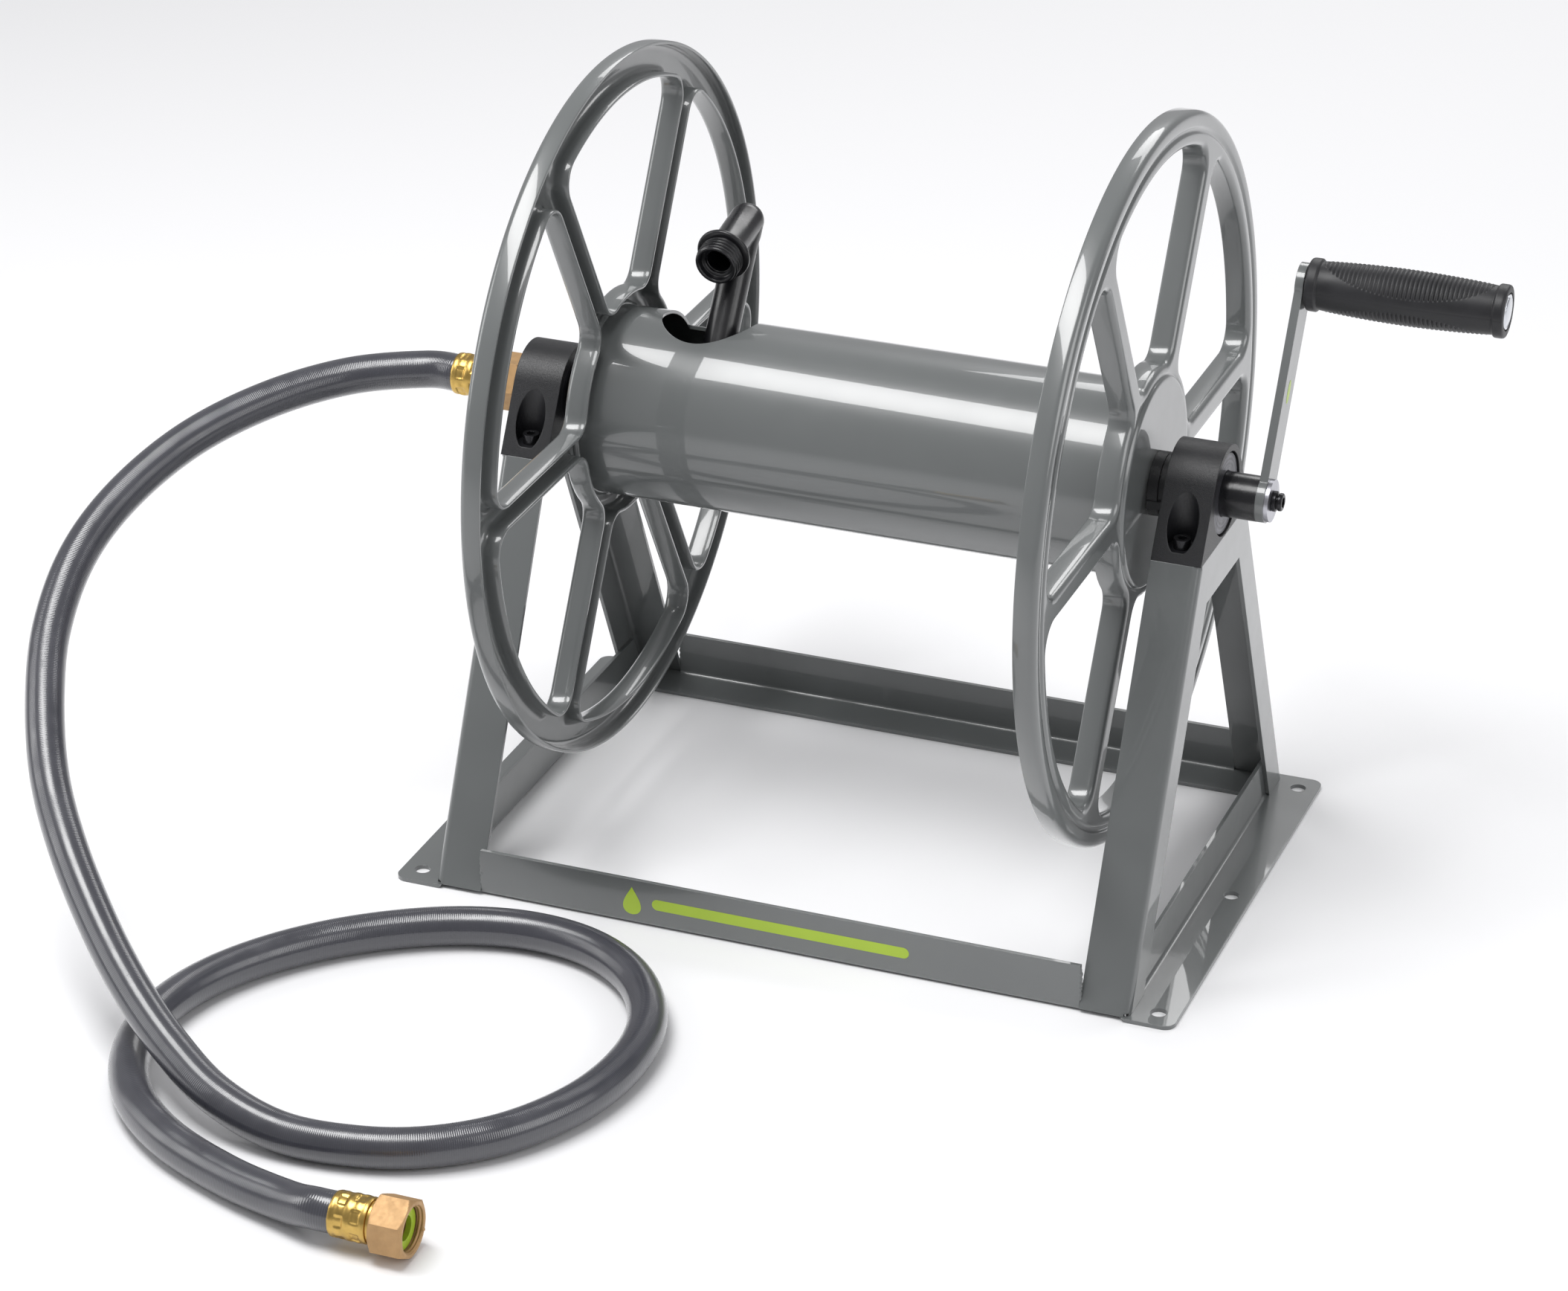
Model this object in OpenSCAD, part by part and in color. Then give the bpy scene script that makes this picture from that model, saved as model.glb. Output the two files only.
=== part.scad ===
/* [View] */
// Which piece to draw

/* [Stand] */
// Height of the reel axle above the floor
axle_height = 264; // [250:1:320]
// Distance between the outer faces of the two side frames
frame_span = 436; // [400:2:520]
// Length of the side frames along the floor, front to back
foot_length = 320; // [290:2:400]
// Block left past the screw pockets at the top of the frame
block_end = 2.5; // [1:0.5:6]
// How far the folded flanges of a side frame reach inward
frame_depth = 30; // [26:1:36]
// Width of a side frame leg seen from the side
leg_width = 26; // [22:1:32]
// Depth of the band across the top of a side frame
top_band = 29; // [24:1:36]
// Sheet thickness of the side frames
frame_sheet = 2.5; // [2:0.1:3]
// Outside radius of the folds in the side frames
frame_fold = 5; // [4:0.5:6]

/* [Rails] */
// Width of the foot rails past the side frames
foot_width = 29; // [24:0.5:40]
// Height of the standing leg of every rail
rail_height = 30; // [24:1:36]
// Width of the flat leg of the front and rear rails
cross_rail_width = 30; // [24:1:40]
// Plate thickness of the rails
rail_plate = 2.5; // [2:0.1:3]
// Outside radius of the folds in the rails
rail_fold = 4; // [3.5:0.5:6]
// Set back of the front and rear rails from the ends of the foot rails
cross_rail_inset = 2.5; // [2:0.5:6]
// Diameter of the six fixing holes
fixing_hole = 9.5; // [6:0.5:11]
// Distance from the outer edge of a foot rail to its holes
fixing_inset = 12.5; // [10:0.5:14]
// Distance from the ends of the foot rails to the corner holes
fixing_end = 14; // [10:0.5:30]
// Radius of the outer corners of the foot rails
foot_corner = 7; // [3:0.5:10]

/* [Bearings] */
// Distance from the top of a side frame up to the axle
block_seat = 26; // [25:1:30]
// Wall of the bearing blocks round their bushes
block_wall = 4; // [3:0.5:7]
// Outside diameter of a bearing bush
bush_dia = 50; // [46:1:52]
// Depth of the bush face inside the block face
bush_recess = 1; // [0.5:0.5:2]
// Diameter of the screw pockets in the blocks
pocket_dia = 18; // [14:1:18]
// Wall between the screw pockets and the bushes
pocket_gap = 2.5; // [1:0.5:5]
// Thickness of the block floor under a screw head
pocket_floor = 5.5; // [4:0.5:8]
// Diameter of the block screws
block_screw_dia = 6; // [5:1:6]

/* [Reel] */
// Diameter of the two flanges
flange_dia = 430; // [400:2:470]
// Distance between the outer faces of the two flanges
reel_width = 342; // [320:1:350]
// Shift of the reel towards the crank from the middle of the stand
reel_shift = 3; // [0:1:4]
// Depth of the outer band of a flange
rim_depth = 13; // [10:1:15]
// Depth of the walls around the windows of a flange
window_depth = 15; // [12:1:16]
// Sheet thickness of the flanges
flange_sheet = 2.2; // [1.8:0.1:2.6]
// Number of spokes in a flange
spokes = 6; // [5:1:7]
// Width of a spoke
spoke_width = 16; // [12:1:20]
// Width of the rim outside the windows
rim_width = 21; // [19:0.5:30]
// Web between the drum and the windows
hub_web = 12; // [9:0.5:20]
// Corner radius at the outer edge of the windows
window_outer_corner = 14; // [8:1:18]
// Corner radius at the inner edge of the windows
window_inner_corner = 12; // [6:1:16]
// How far the raised centre reaches past the drum
boss_margin = 5.5; // [3:0.5:6]
// Height of the raised centre of a flange
boss_height = 1.5; // [1:0.5:2.5]
// Outside diameter of the drum
drum_dia = 114; // [100:1:120]
// Sheet thickness of the drum
drum_sheet = 2; // [1.5:0.1:2.5]
// Size of the weld bead where the drum meets a flange
drum_weld = 2.5; // [1.5:0.5:3]
// Length of the opening in the drum along the axle
opening_length = 56; // [44:1:60]
// Half width of the opening around the drum
opening_half = 35; // [30:1:38]
// Angle of the middle of the opening, leaning back from straight up
opening_lean = 15.5; // [10:0.5:20]

/* [Shafts] */
// Diameter of the crank shaft and of the water axle
shaft_dia = 26.6; // [24:0.2:28]
// Running clearance on the radius of every turning fit
running_gap = 0.05; // [0.02:0.01:0.09]
// Wall of the collars round the shafts
collar_wall = 4.7; // [3:0.1:7]
// Side gap between collars and blocks
collar_gap = 0.5; // [0.3:0.1:1]
// Bore of the water axle and the outlet pipe
water_bore = 14; // [10:0.5:15]
// Diameter of the hub in the drum that carries the outlet pipe
hub_dia = 44; // [36:1:50]

/* [Outlet] */
// Distance from the left flange to the outlet pipe
outlet_offset = 62.5; // [56:0.5:70]
// Outside diameter of the outlet pipe
outlet_dia = 20; // [18:0.5:22]
// Distance from the axle to the bend of the outlet pipe
outlet_reach = 118.5; // [105:0.5:125]
// Angle the outlet pipe leans back from straight up
outlet_lean = 35; // [30:1:40]
// Angle that the spout of the outlet drops below level
outlet_drop = 12; // [0:1:20]
// Distance from the bend corner to the threaded mouth
outlet_length = 51; // [40:1:56]
// Outside diameter of the hose thread
thread_dia = 27; // [26:0.1:28]
// Length of the outlet thread
thread_length = 12; // [9:0.5:14]
// Spacing of the thread ridges
thread_pitch = 2.2; // [1.8:0.1:2.6]
// Depth of the thread ridges
thread_depth = 1.1; // [0.6:0.1:1.3]
// How far the outlet collar stands out past the thread
outlet_collar_step = 3; // [2:0.5:5]

/* [Crank] */
// Distance from the axle to the grip
crank_length = 126.5; // [110:0.5:150]
// Angle the crank leans back from straight up
crank_lean = 30; // [20:1:40]
// Length of the crank shaft outside the side frame
crank_standoff = 20; // [15:1:30]
// Thickness of the crank arm
arm_plate = 5; // [4:0.5:6]
// Width of the crank arm
arm_width = 20; // [16:1:24]
// Diameter of the rounded top end of the crank arm
arm_top_dia = 24; // [24:1:30]
// Thickness of the round washer on the crank arm
arm_washer = 2.5; // [2:0.5:4]
// Length of the grip
grip_length = 116; // [100:1:130]
// Largest diameter of the grip
grip_dia = 32.5; // [30:0.5:36]
// Diameter of the grip next to its end collars
grip_neck = 28; // [26:0.5:30]
// Diameter of the end collars of the grip
grip_collar = 31; // [30:0.5:34]
// Diameter of the spindle inside the grip
spindle_dia = 10; // [8:0.5:12]

/* [Hose] */
// Outside diameter of the hose
hose_dia = 23; // [20:0.5:24]
// How much wider the nuts are across flats than the thread
nut_side = 4; // [3:0.5:6]
// Length of the brass nuts
nut_length = 20; // [17:0.5:22]
// How far the loose end nut is pushed back from the flange of its tail
nut_back = 5.5; // [0:0.5:6]
// Length of the brass ferrules
ferrule_length = 22; // [18:1:26]
// Wall of the ferrules round the hose
ferrule_wall = 1.5; // [1:0.25:2]
// Thickness of the sealing washer in the end nut
washer_sheet = 3; // [2:0.5:4]

/* [Hidden] */
$fn = 64;
eps = 0.01;
far = 1000;
// frame
plate_x = frame_span / 2;
flange_edge_x = plate_x - frame_depth;
foot_half = foot_length / 2;
pocket_offset = bush_dia / 2 + pocket_gap + pocket_dia / 2;
top_half = pocket_offset + pocket_dia / 2 + block_end;
top_length = 2 * top_half;
frame_top = axle_height - block_seat;
leg_lean = atan((foot_half - top_half) / frame_top);
leg_slope = tan(leg_lean);
rail_x = plate_x - frame_sheet;
base_half = rail_x + foot_width;
fixing_pitch = foot_length - 2 * fixing_end;
cross_y = foot_half - cross_rail_inset;
// blocks
block_mid_x = plate_x - frame_depth / 2;
bush_face_x = plate_x - bush_recess;
block_radius = bush_dia / 2 + block_wall;
seat_reach = sqrt(top_half * top_half + block_seat * block_seat);
seat_rise = atan(block_seat / top_half) + asin(block_radius / seat_reach);
seat_run = sqrt(seat_reach * seat_reach - block_radius * block_radius);
block_head_dia = block_screw_dia * 1.65;
block_screw_reach = 8;
head_slot = block_screw_dia * 0.5;
// reel
reel_half = reel_width / 2;
right_face_x = reel_shift + reel_half;
left_face_x = reel_shift - reel_half;
flange_r = flange_dia / 2;
drum_r = drum_dia / 2;
window_outer = flange_r - rim_width;
window_inner = drum_r + hub_web;
boss_dia = drum_dia + 2 * boss_margin;
shaft_r = shaft_dia / 2;
collar_dia = shaft_dia + 2 * collar_wall;
axle_bore_step = 1;
shaft_flange = 5;
shaft_flange_dia = 70;
collar_edge = 1;
// outlet
outlet_x = left_face_x + outlet_offset;
outlet_y = outlet_reach * sin(outlet_lean);
outlet_z = axle_height + outlet_reach * cos(outlet_lean);
outlet_r = outlet_dia / 2;
outlet_collar = 3;
outlet_collar_dia = thread_dia + 2 * outlet_collar_step;
hub_sink = 6;
spout_step = 0.6;
mouth_depth = 4;
// crank
arm_x = plate_x + crank_standoff;
arm_face_x = arm_x + arm_plate;
screw_x = arm_face_x + arm_washer;
crank_head_dia = 12;
crank_head = 6;
crank_screw_dia = 8;
crank_screw_depth = 22;
grip_x = arm_face_x + 1;
grip_y = crank_length * sin(crank_lean);
grip_z = axle_height + crank_length * cos(crank_lean);
grip_core_dia = spindle_dia + 8;
grip_collar_length = 7;
grip_end_cap = 4;
// hose and fittings
swivel_wall = 1.7;
swivel_dia = shaft_dia + 2 * swivel_wall;
ferrule_dia = hose_dia + 2 * ferrule_wall;
nut_flats = thread_dia + nut_side;
swivel_length = 4;
nut_wall = 4;
nut_relief = 0.6;
relief_past = 0.5;
nut_chamfer = 1.6;
nut_face_step = 0.5;
tail_dia = 20;
tail_flange = 3;
tail_step = 3;
swivel_spigot = nut_length - nut_wall - tail_flange;
inlet_nut_x = -(plate_x + swivel_length);
ferrule_crimp = 0.8;
hose_r = hose_dia / 2;
hose_start_x = inlet_nut_x - nut_length - tail_step - ferrule_length;
floor_gap = 0.5;
lie = hose_r + floor_gap;
end_y = -525;
end_z = nut_flats / cos(30) / 2 + 0.1;
end_x = -104;
hose_sides = 10;
hose_steps = 2;
hose_route = [
    [hose_start_x, 0, axle_height],
    [hose_start_x - 22, 0, axle_height - 1],
    [-332, -18, 259], [-368, -56, 253], [-398, -102, 241], [-417, -152, 223],
    [-424, -198, 202], [-419, -242, 176], [-404, -281, 150], [-383, -317, 121],
    [-354, -350, 95], [-318, -382, 68], [-284, -408, 48], [-250, -430, 33],
    [-214, -448, 21], [-172, -457, 13], [-128, -454, lie], [-90, -440, lie],
    [-56, -411, lie], [-32, -367, lie], [-24, -318, lie], [-32, -272, lie],
    [-57, -234, lie], [-94, -211, lie], [-138, -206, lie], [-184, -219, lie],
    [-228, -247, lie], [-263, -284, lie], [-286, -326, lie], [-294, -371, lie],
    [-286, -414, lie], [-263, -453, lie], [-226, -484, lie], [-178, -506, lie],
    [-136, -519, 14], [end_x - 12, end_y, end_z], [end_x, end_y, end_z]
];

// an angle profile: flat leg along x, standing leg along y at the far end
module angle_profile(flat_leg, tall_leg, sheet, fold) {
    difference() {
        square([flat_leg, tall_leg]);
        translate([-1, sheet]) square([flat_leg - fold + 1, tall_leg]);
        translate([flat_leg - fold - eps, fold]) square([fold - sheet + eps, tall_leg]);
        translate([flat_leg - fold, fold]) circle(r = fold - sheet);
        difference() {
            translate([flat_leg - fold, -1]) square([fold + 1, fold + 1]);
            translate([flat_leg - fold, fold]) circle(r = fold);
        }
    }
}

// one leg of the right side frame, front side
module frame_leg() {
    translate([flange_edge_x, -foot_half, 0]) rotate([-leg_lean, 0, 0])
        translate([0, 0, -frame_depth])
            linear_extrude(frame_top / cos(leg_lean) + 2 * frame_depth)
                angle_profile(frame_depth, leg_width, frame_sheet, frame_fold);
}

module side_frame() {
    band_z = frame_top - top_band;
    inner = leg_width / 2;
    difference() {
        union() {
            intersection() {
                union() {
                    frame_leg();
                    mirror([0, 1, 0]) frame_leg();
                }
                translate([0, -foot_half, rail_plate])
                    cube([far, foot_length, frame_top - rail_plate]);
            }
            translate([plate_x - frame_sheet, 0, 0]) rotate([90, 0, 90])
                linear_extrude(frame_sheet) polygon([
                    [-foot_half + band_z * leg_slope + inner, band_z],
                    [foot_half - band_z * leg_slope - inner, band_z],
                    [top_half - inner, frame_top], [-top_half + inner, frame_top]
                ]);
            translate([flange_edge_x, -top_half + frame_sheet, frame_top - frame_sheet])
                cube([frame_depth, top_length - 2 * frame_sheet, frame_sheet]);
        }
        for (s = [-1, 1])
            translate([block_mid_x, s * pocket_offset, frame_top - 2 * frame_sheet])
                cylinder(d = block_screw_dia, h = 3 * frame_sheet);
        translate([rail_x - 1, -foot_half, 0])
            cube([rail_fold - rail_plate + 1, foot_length, rail_fold]);
    }
}

module right_side_frame() {
    color("#6d7273") side_frame();
}

module left_side_frame() {
    color("#6d7273") mirror([1, 0, 0]) side_frame();
}

// plan outline of the right foot rail with rounded outer corners and its holes
module foot_rail_plan() {
    inner_x = rail_x - rail_plate;
    difference() {
        translate([inner_x, -foot_half]) square([base_half - inner_x, foot_length]);
        for (s = [-1, 1]) {
            mirror([0, s < 0 ? 1 : 0]) difference() {
                translate([base_half - foot_corner, foot_half - foot_corner])
                    square(foot_corner + 1);
                translate([base_half - foot_corner, foot_half - foot_corner])
                    circle(r = foot_corner);
            }
            translate([base_half - fixing_inset, s * fixing_pitch / 2])
                circle(d = fixing_hole);
        }
        translate([base_half - fixing_inset, 0]) circle(d = fixing_hole);
    }
}

// right foot rail with its standing leg trimmed to fit between the frame legs
module foot_rail() {
    inner_y = foot_half - (frame_sheet + frame_fold) / cos(leg_lean);
    above = rail_height + 1;
    difference() {
        intersection() {
            translate([base_half, foot_half, 0]) mirror([1, 0, 0]) rotate([90, 0, 0])
                linear_extrude(foot_length) angle_profile(
                    base_half - rail_x + rail_plate, rail_height, rail_plate, rail_fold);
            translate([0, 0, -1]) linear_extrude(rail_height + 2) foot_rail_plan();
        }
        for (s = [-1, 1])
            rotate([90, 0, 90]) linear_extrude(far) polygon([
                [s * (inner_y - rail_plate * leg_slope), rail_plate],
                [s * (inner_y - above * leg_slope), above],
                [s * (foot_half + 1), above], [s * (foot_half + 1), rail_plate]
            ]);
    }
}

module right_foot_rail() {
    color("#6d7273") foot_rail();
}

module left_foot_rail() {
    color("#6d7273") mirror([1, 0, 0]) foot_rail();
}

// solid zone taken up by both foot rails, used to cope the cross rails
module foot_rail_zone() {
    for (s = [0, 1])
        mirror([s, 0, 0]) translate([rail_x - rail_plate, -foot_half, 0]) union() {
            translate([rail_fold, 0, -1]) cube([far, foot_length, rail_height + 2]);
            translate([0, 0, rail_fold]) cube([far, foot_length, rail_height]);
            translate([rail_fold, 0, rail_fold]) rotate([-90, 0, 0])
                cylinder(r = rail_fold, h = foot_length);
        }
}

module cross_rail() {
    difference() {
        translate([-rail_x, -cross_y + cross_rail_width, 0]) rotate([90, 0, 90])
            mirror([1, 0, 0]) linear_extrude(2 * rail_x)
                angle_profile(cross_rail_width, rail_height, rail_plate, rail_fold);
        foot_rail_zone();
        for (s = [0, 1])
            mirror([s, 0, 0]) translate([flange_edge_x, -far / 2, rail_plate])
                cube([far, far, far]);
    }
}

module front_rail() {
    color("#6d7273") cross_rail();
}

module rear_rail() {
    color("#6d7273") mirror([0, 1, 0]) cross_rail();
}

module bearing_block() {
    difference() {
        translate([flange_edge_x, 0, 0]) rotate([90, 0, 90]) linear_extrude(frame_depth)
            difference() {
                union() {
                    translate([0, axle_height]) circle(r = block_radius);
                    polygon([
                        [-top_half, frame_top], [top_half, frame_top],
                        [top_half - seat_run * cos(seat_rise),
                            frame_top + seat_run * sin(seat_rise)],
                        [0, axle_height],
                        [-top_half + seat_run * cos(seat_rise),
                            frame_top + seat_run * sin(seat_rise)]
                    ]);
                }
                translate([0, axle_height]) circle(d = bush_dia);
                translate([-far / 2, frame_top - far]) square(far);
            }
        for (s = [-1, 1]) translate([block_mid_x, s * pocket_offset, frame_top]) {
            translate([0, 0, pocket_floor]) cylinder(d = pocket_dia, h = far);
            translate([0, 0, -1]) cylinder(d = block_screw_dia, h = pocket_floor + 2);
        }
    }
}

module right_bearing_block() {
    color("#1d1e20") bearing_block();
}

module left_bearing_block() {
    color("#1d1e20") mirror([1, 0, 0]) bearing_block();
}

module bush() {
    length = frame_depth - 2 * bush_recess;
    translate([bush_face_x - length, 0, axle_height]) rotate([0, 90, 0]) difference() {
        cylinder(d = bush_dia, h = length);
        translate([0, 0, -1]) cylinder(r = shaft_r + running_gap, h = length + 2);
        for (z = [-1, length - 1]) translate([0, 0, z]) difference() {
            cylinder(d = bush_dia + 1, h = 2);
            translate([0, 0, -1]) cylinder(d = bush_dia - 2, h = 4);
        }
    }
}

module right_bush() {
    color("#8d8f94") bush();
}

module left_bush() {
    color("#8d8f94") mirror([1, 0, 0]) bush();
}

// socket head screw, head upward, underside of the head at z = 0
module socket_screw(dia, head_dia, head, reach, slot) {
    difference() {
        union() {
            cylinder(d = head_dia, h = head);
            translate([0, 0, -reach]) cylinder(d = dia, h = reach + eps);
        }
        translate([0, 0, head / 2]) cylinder(r = slot / cos(30) * 0.8, h = head, $fn = 6);
    }
}

module block_screw(side, end) {
    translate([side * block_mid_x, end * pocket_offset, frame_top + pocket_floor])
        socket_screw(block_screw_dia, block_head_dia, block_screw_dia,
            pocket_floor + frame_sheet + block_screw_reach, head_slot);
}

module left_front_screw() {
    color("#2a2b2d") block_screw(-1, -1);
}

module left_rear_screw() {
    color("#2a2b2d") block_screw(-1, 1);
}

module right_front_screw() {
    color("#2a2b2d") block_screw(1, -1);
}

module right_rear_screw() {
    color("#2a2b2d") block_screw(1, 1);
}

// window outline between two spokes, grown on all sides by grow
module window_shape(grow) {
    half_angle = 180 / spokes;
    gap = spoke_width / 2 - grow;
    outer = window_outer + grow;
    inner = window_inner - grow;
    oc = window_outer_corner + grow;
    ic = window_inner_corner + grow;
    // corner centres in a frame whose x axis runs along the lower spoke
    oy = gap + oc;
    ox = sqrt((outer - oc) * (outer - oc) - oy * oy);
    iy = gap + ic;
    ix = sqrt((inner + ic) * (inner + ic) - iy * iy);
    difference() {
        circle(r = outer);
        circle(r = inner);
        for (s = [-1, 1]) {
            mirror([0, s < 0 ? 1 : 0]) rotate(-half_angle) translate([-far, gap - far])
                square([2 * far, far]);
            mirror([0, s < 0 ? 1 : 0]) rotate(-half_angle) difference() {
                union() {
                    polygon([
                        [ox, gap - 1], [outer + oc, gap - 1],
                        [ox * (outer + 1) / (outer - oc), oy * (outer + 1) / (outer - oc)],
                        [ox, oy]
                    ]);
                    polygon([
                        [ix, gap - 1], [inner - ic, gap - 1], [inner - ic, gap + 1],
                        [ix * (inner - 2) / (inner + ic), iy * (inner - 2) / (inner + ic)],
                        [ix, iy]
                    ]);
                }
                translate([ox, oy]) circle(r = oc);
                translate([ix, iy]) circle(r = ic);
            }
        }
        translate([-far, -far]) square([far, 2 * far]);
    }
}

module all_windows(grow) {
    for (i = [0:spokes - 1]) rotate((i + 0.5) * 360 / spokes) window_shape(grow);
}

// pressed wheel lying flat: outer face at z = 0, walls rising along z
module flange_wheel() {
    ridge_r = window_outer + flange_sheet + 5;
    difference() {
        union() {
            cylinder(r = flange_r, h = rim_depth, $fn = 180);
            cylinder(r = window_outer + flange_sheet, h = window_depth, $fn = 180);
            translate([0, 0, -boss_height]) cylinder(d = boss_dia, h = boss_height + 1);
            translate([0, 0, -1]) difference() {
                cylinder(r = ridge_r + 5, h = 2, $fn = 180);
                translate([0, 0, -1]) cylinder(r = ridge_r, h = 4, $fn = 180);
            }
        }
        translate([0, 0, -far / 2]) linear_extrude(far) all_windows(0);
        translate([0, 0, flange_sheet]) linear_extrude(far) difference() {
            circle(r = flange_r - flange_sheet, $fn = 180);
            all_windows(flange_sheet);
        }
        translate([0, 0, -far / 2]) cylinder(r = shaft_r, h = far);
    }
}

module right_flange() {
    color("#6d7273") translate([right_face_x, 0, axle_height]) rotate([0, -90, 0])
        rotate(90) flange_wheel();
}

module left_flange() {
    color("#6d7273") translate([left_face_x, 0, axle_height]) rotate([0, 90, 0])
        rotate(90) flange_wheel();
}

module drum() {
    length = reel_width - 2 * flange_sheet;
    back = opening_length / 2;
    color("#6d7273") difference() {
        translate([left_face_x + flange_sheet, 0, axle_height]) rotate([0, 90, 0]) {
            difference() {
                cylinder(r = drum_r, h = length, $fn = 180);
                translate([0, 0, -1]) cylinder(r = drum_r - drum_sheet, h = length + 2, $fn = 180);
            }
            for (s = [0, 1]) translate([0, 0, s * length]) mirror([0, 0, s])
                rotate_extrude() translate([drum_r, 0]) intersection() {
                    circle(r = drum_weld);
                    translate([-eps, 0]) square(2 * drum_weld);
                }
        }
        translate([outlet_x, 0, axle_height]) rotate([-opening_lean, 0, 0]) {
            translate([0, back - opening_half, 0]) cylinder(d = opening_length, h = far);
            translate([-back, back - opening_half, 0])
                cube([opening_length, 2 * opening_half - back, far]);
        }
    }
}

// water way from the left bush to the outlet hub, open at the inlet end
module water_axle() {
    start = left_face_x + flange_sheet;
    inlet_end = -bush_face_x + collar_gap;
    color("#232427") difference() {
        translate([inlet_end, 0, axle_height]) rotate([0, 90, 0]) union() {
            cylinder(r = shaft_r, h = outlet_x + hub_dia / 2 - inlet_end);
            translate([0, 0, start - inlet_end])
                cylinder(d = shaft_flange_dia, h = shaft_flange);
            translate([0, 0, outlet_x - hub_dia / 2 - inlet_end])
                cylinder(d = hub_dia, h = hub_dia);
        }
        translate([inlet_end - 1, 0, axle_height]) rotate([0, 90, 0])
            cylinder(d = water_bore + axle_bore_step, h = outlet_x + water_bore - inlet_end);
        translate([outlet_x, 0, axle_height]) rotate([-outlet_lean, 0, 0])
            cylinder(d = water_bore, h = hub_dia);
        translate([outlet_x, 0, axle_height]) rotate([-outlet_lean, 0, 0])
            translate([0, 0, hub_dia / 2 - hub_sink]) cylinder(d = outlet_dia, h = hub_dia);
    }
}

module left_collar() {
    outer = -(flange_edge_x + bush_recess - collar_gap);
    color("#232427") translate([outer, 0, axle_height]) rotate([0, 90, 0]) difference() {
        cylinder(d = collar_dia, h = left_face_x - boss_height - outer);
        translate([0, 0, -1]) cylinder(r = shaft_r, h = far);
        translate([0, 0, -1]) difference() {
            cylinder(d = collar_dia + 2, h = collar_edge + 1);
            translate([0, 0, -1]) cylinder(d = collar_dia - 2 * collar_edge, h = far);
        }
    }
}

module right_collar() {
    outer = flange_edge_x + bush_recess - collar_gap;
    start = right_face_x + boss_height;
    color("#232427") translate([start, 0, axle_height]) {
        rotate([0, 90, 0]) difference() {
            union() {
                cylinder(d = collar_dia + 2, h = (outer - start) / 2);
                cylinder(d = collar_dia, h = outer - start);
            }
            translate([0, 0, -1]) cylinder(r = shaft_r, h = far);
        }
        translate([0, -collar_dia / 2 - 1.5, -8]) cube([outer - start, 6, 5]);
    }
}

// bend of the outlet: pipe rising from the hub, turning over to the front
module outlet_riser(radius) {
    start = hub_dia / 2 - hub_sink;
    translate([outlet_x, 0, axle_height]) rotate([-outlet_lean, 0, 0])
        translate([0, 0, start]) cylinder(r = radius, h = outlet_reach - start);
}

module outlet_spout_place() {
    translate([outlet_x, outlet_y, outlet_z]) rotate([90 + outlet_drop, 0, 0]) children();
}

// straight run along z with a round closed end behind z = 0
module outlet_run(radius, length) {
    rotate_extrude() {
        intersection() {
            circle(r = radius);
            translate([0, -radius]) square(radius);
        }
        square([radius, length]);
    }
}

module thread_profile() {
    turns = floor((thread_length - 1) / thread_pitch);
    core = thread_dia / 2 - thread_depth;
    square([core, thread_length]);
    for (i = [0:turns - 1]) translate([0, 0.8 + i * thread_pitch]) polygon([
        [core - 1, 0], [core, 0], [core + thread_depth, thread_pitch * 0.35],
        [core + thread_depth, thread_pitch * 0.55], [core, thread_pitch * 0.9],
        [core - 1, thread_pitch * 0.9]
    ]);
}

module outlet_pipe() {
    thread_start = outlet_length - thread_length;
    color("#1b1c1e") difference() {
        union() {
            outlet_riser(outlet_r);
            outlet_spout_place() {
                outlet_run(outlet_r + spout_step, thread_start);
                translate([0, 0, thread_start - outlet_collar])
                    cylinder(d = outlet_collar_dia, h = outlet_collar);
                translate([0, 0, thread_start]) rotate_extrude() thread_profile();
            }
        }
        outlet_riser(water_bore / 2);
        outlet_spout_place() {
            outlet_run(water_bore / 2 + spout_step / 2, outlet_length + 1);
            translate([0, 0, outlet_length - mouth_depth])
                cylinder(d = thread_dia - 4 * thread_depth - 2, h = mouth_depth + 1);
        }
    }
}

module crank_shaft() {
    inner = right_face_x - flange_sheet;
    color("#1b1c1e") translate([inner - shaft_flange, 0, axle_height]) rotate([0, 90, 0])
        difference() {
            union() {
                cylinder(d = shaft_flange_dia, h = shaft_flange);
                cylinder(r = shaft_r, h = arm_x - inner + shaft_flange);
            }
            translate([0, 0, arm_x - inner + shaft_flange - crank_screw_depth])
                cylinder(d = crank_screw_dia, h = far);
        }
}

module crank_arm() {
    color("#7b8182") translate([arm_x, 0, axle_height]) rotate([-crank_lean, 0, 0])
        rotate([90, 0, 90]) difference() {
            linear_extrude(arm_plate) union() {
                circle(r = shaft_r);
                translate([0, crank_length]) circle(d = arm_top_dia);
                translate([-arm_width / 2, 0]) square([arm_width, crank_length]);
            }
            translate([0, 0, -1]) cylinder(d = crank_screw_dia, h = arm_plate + 2);
            translate([0, crank_length, -1]) cylinder(d = spindle_dia, h = arm_plate + 2);
        }
}

module crank_washer() {
    color("#a3a6ab") translate([arm_face_x, 0, axle_height]) rotate([0, 90, 0])
        difference() {
            cylinder(r = shaft_r - 0.8, h = arm_washer);
            translate([0, 0, -1]) cylinder(d = crank_screw_dia, h = arm_washer + 2);
        }
}

module crank_screw() {
    color("#2a2b2d") translate([screw_x, 0, axle_height]) rotate([0, 90, 0])
        socket_screw(crank_screw_dia, crank_head_dia, crank_head,
            arm_washer + arm_plate + crank_screw_depth - 2, crank_screw_dia * 0.45);
}

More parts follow.
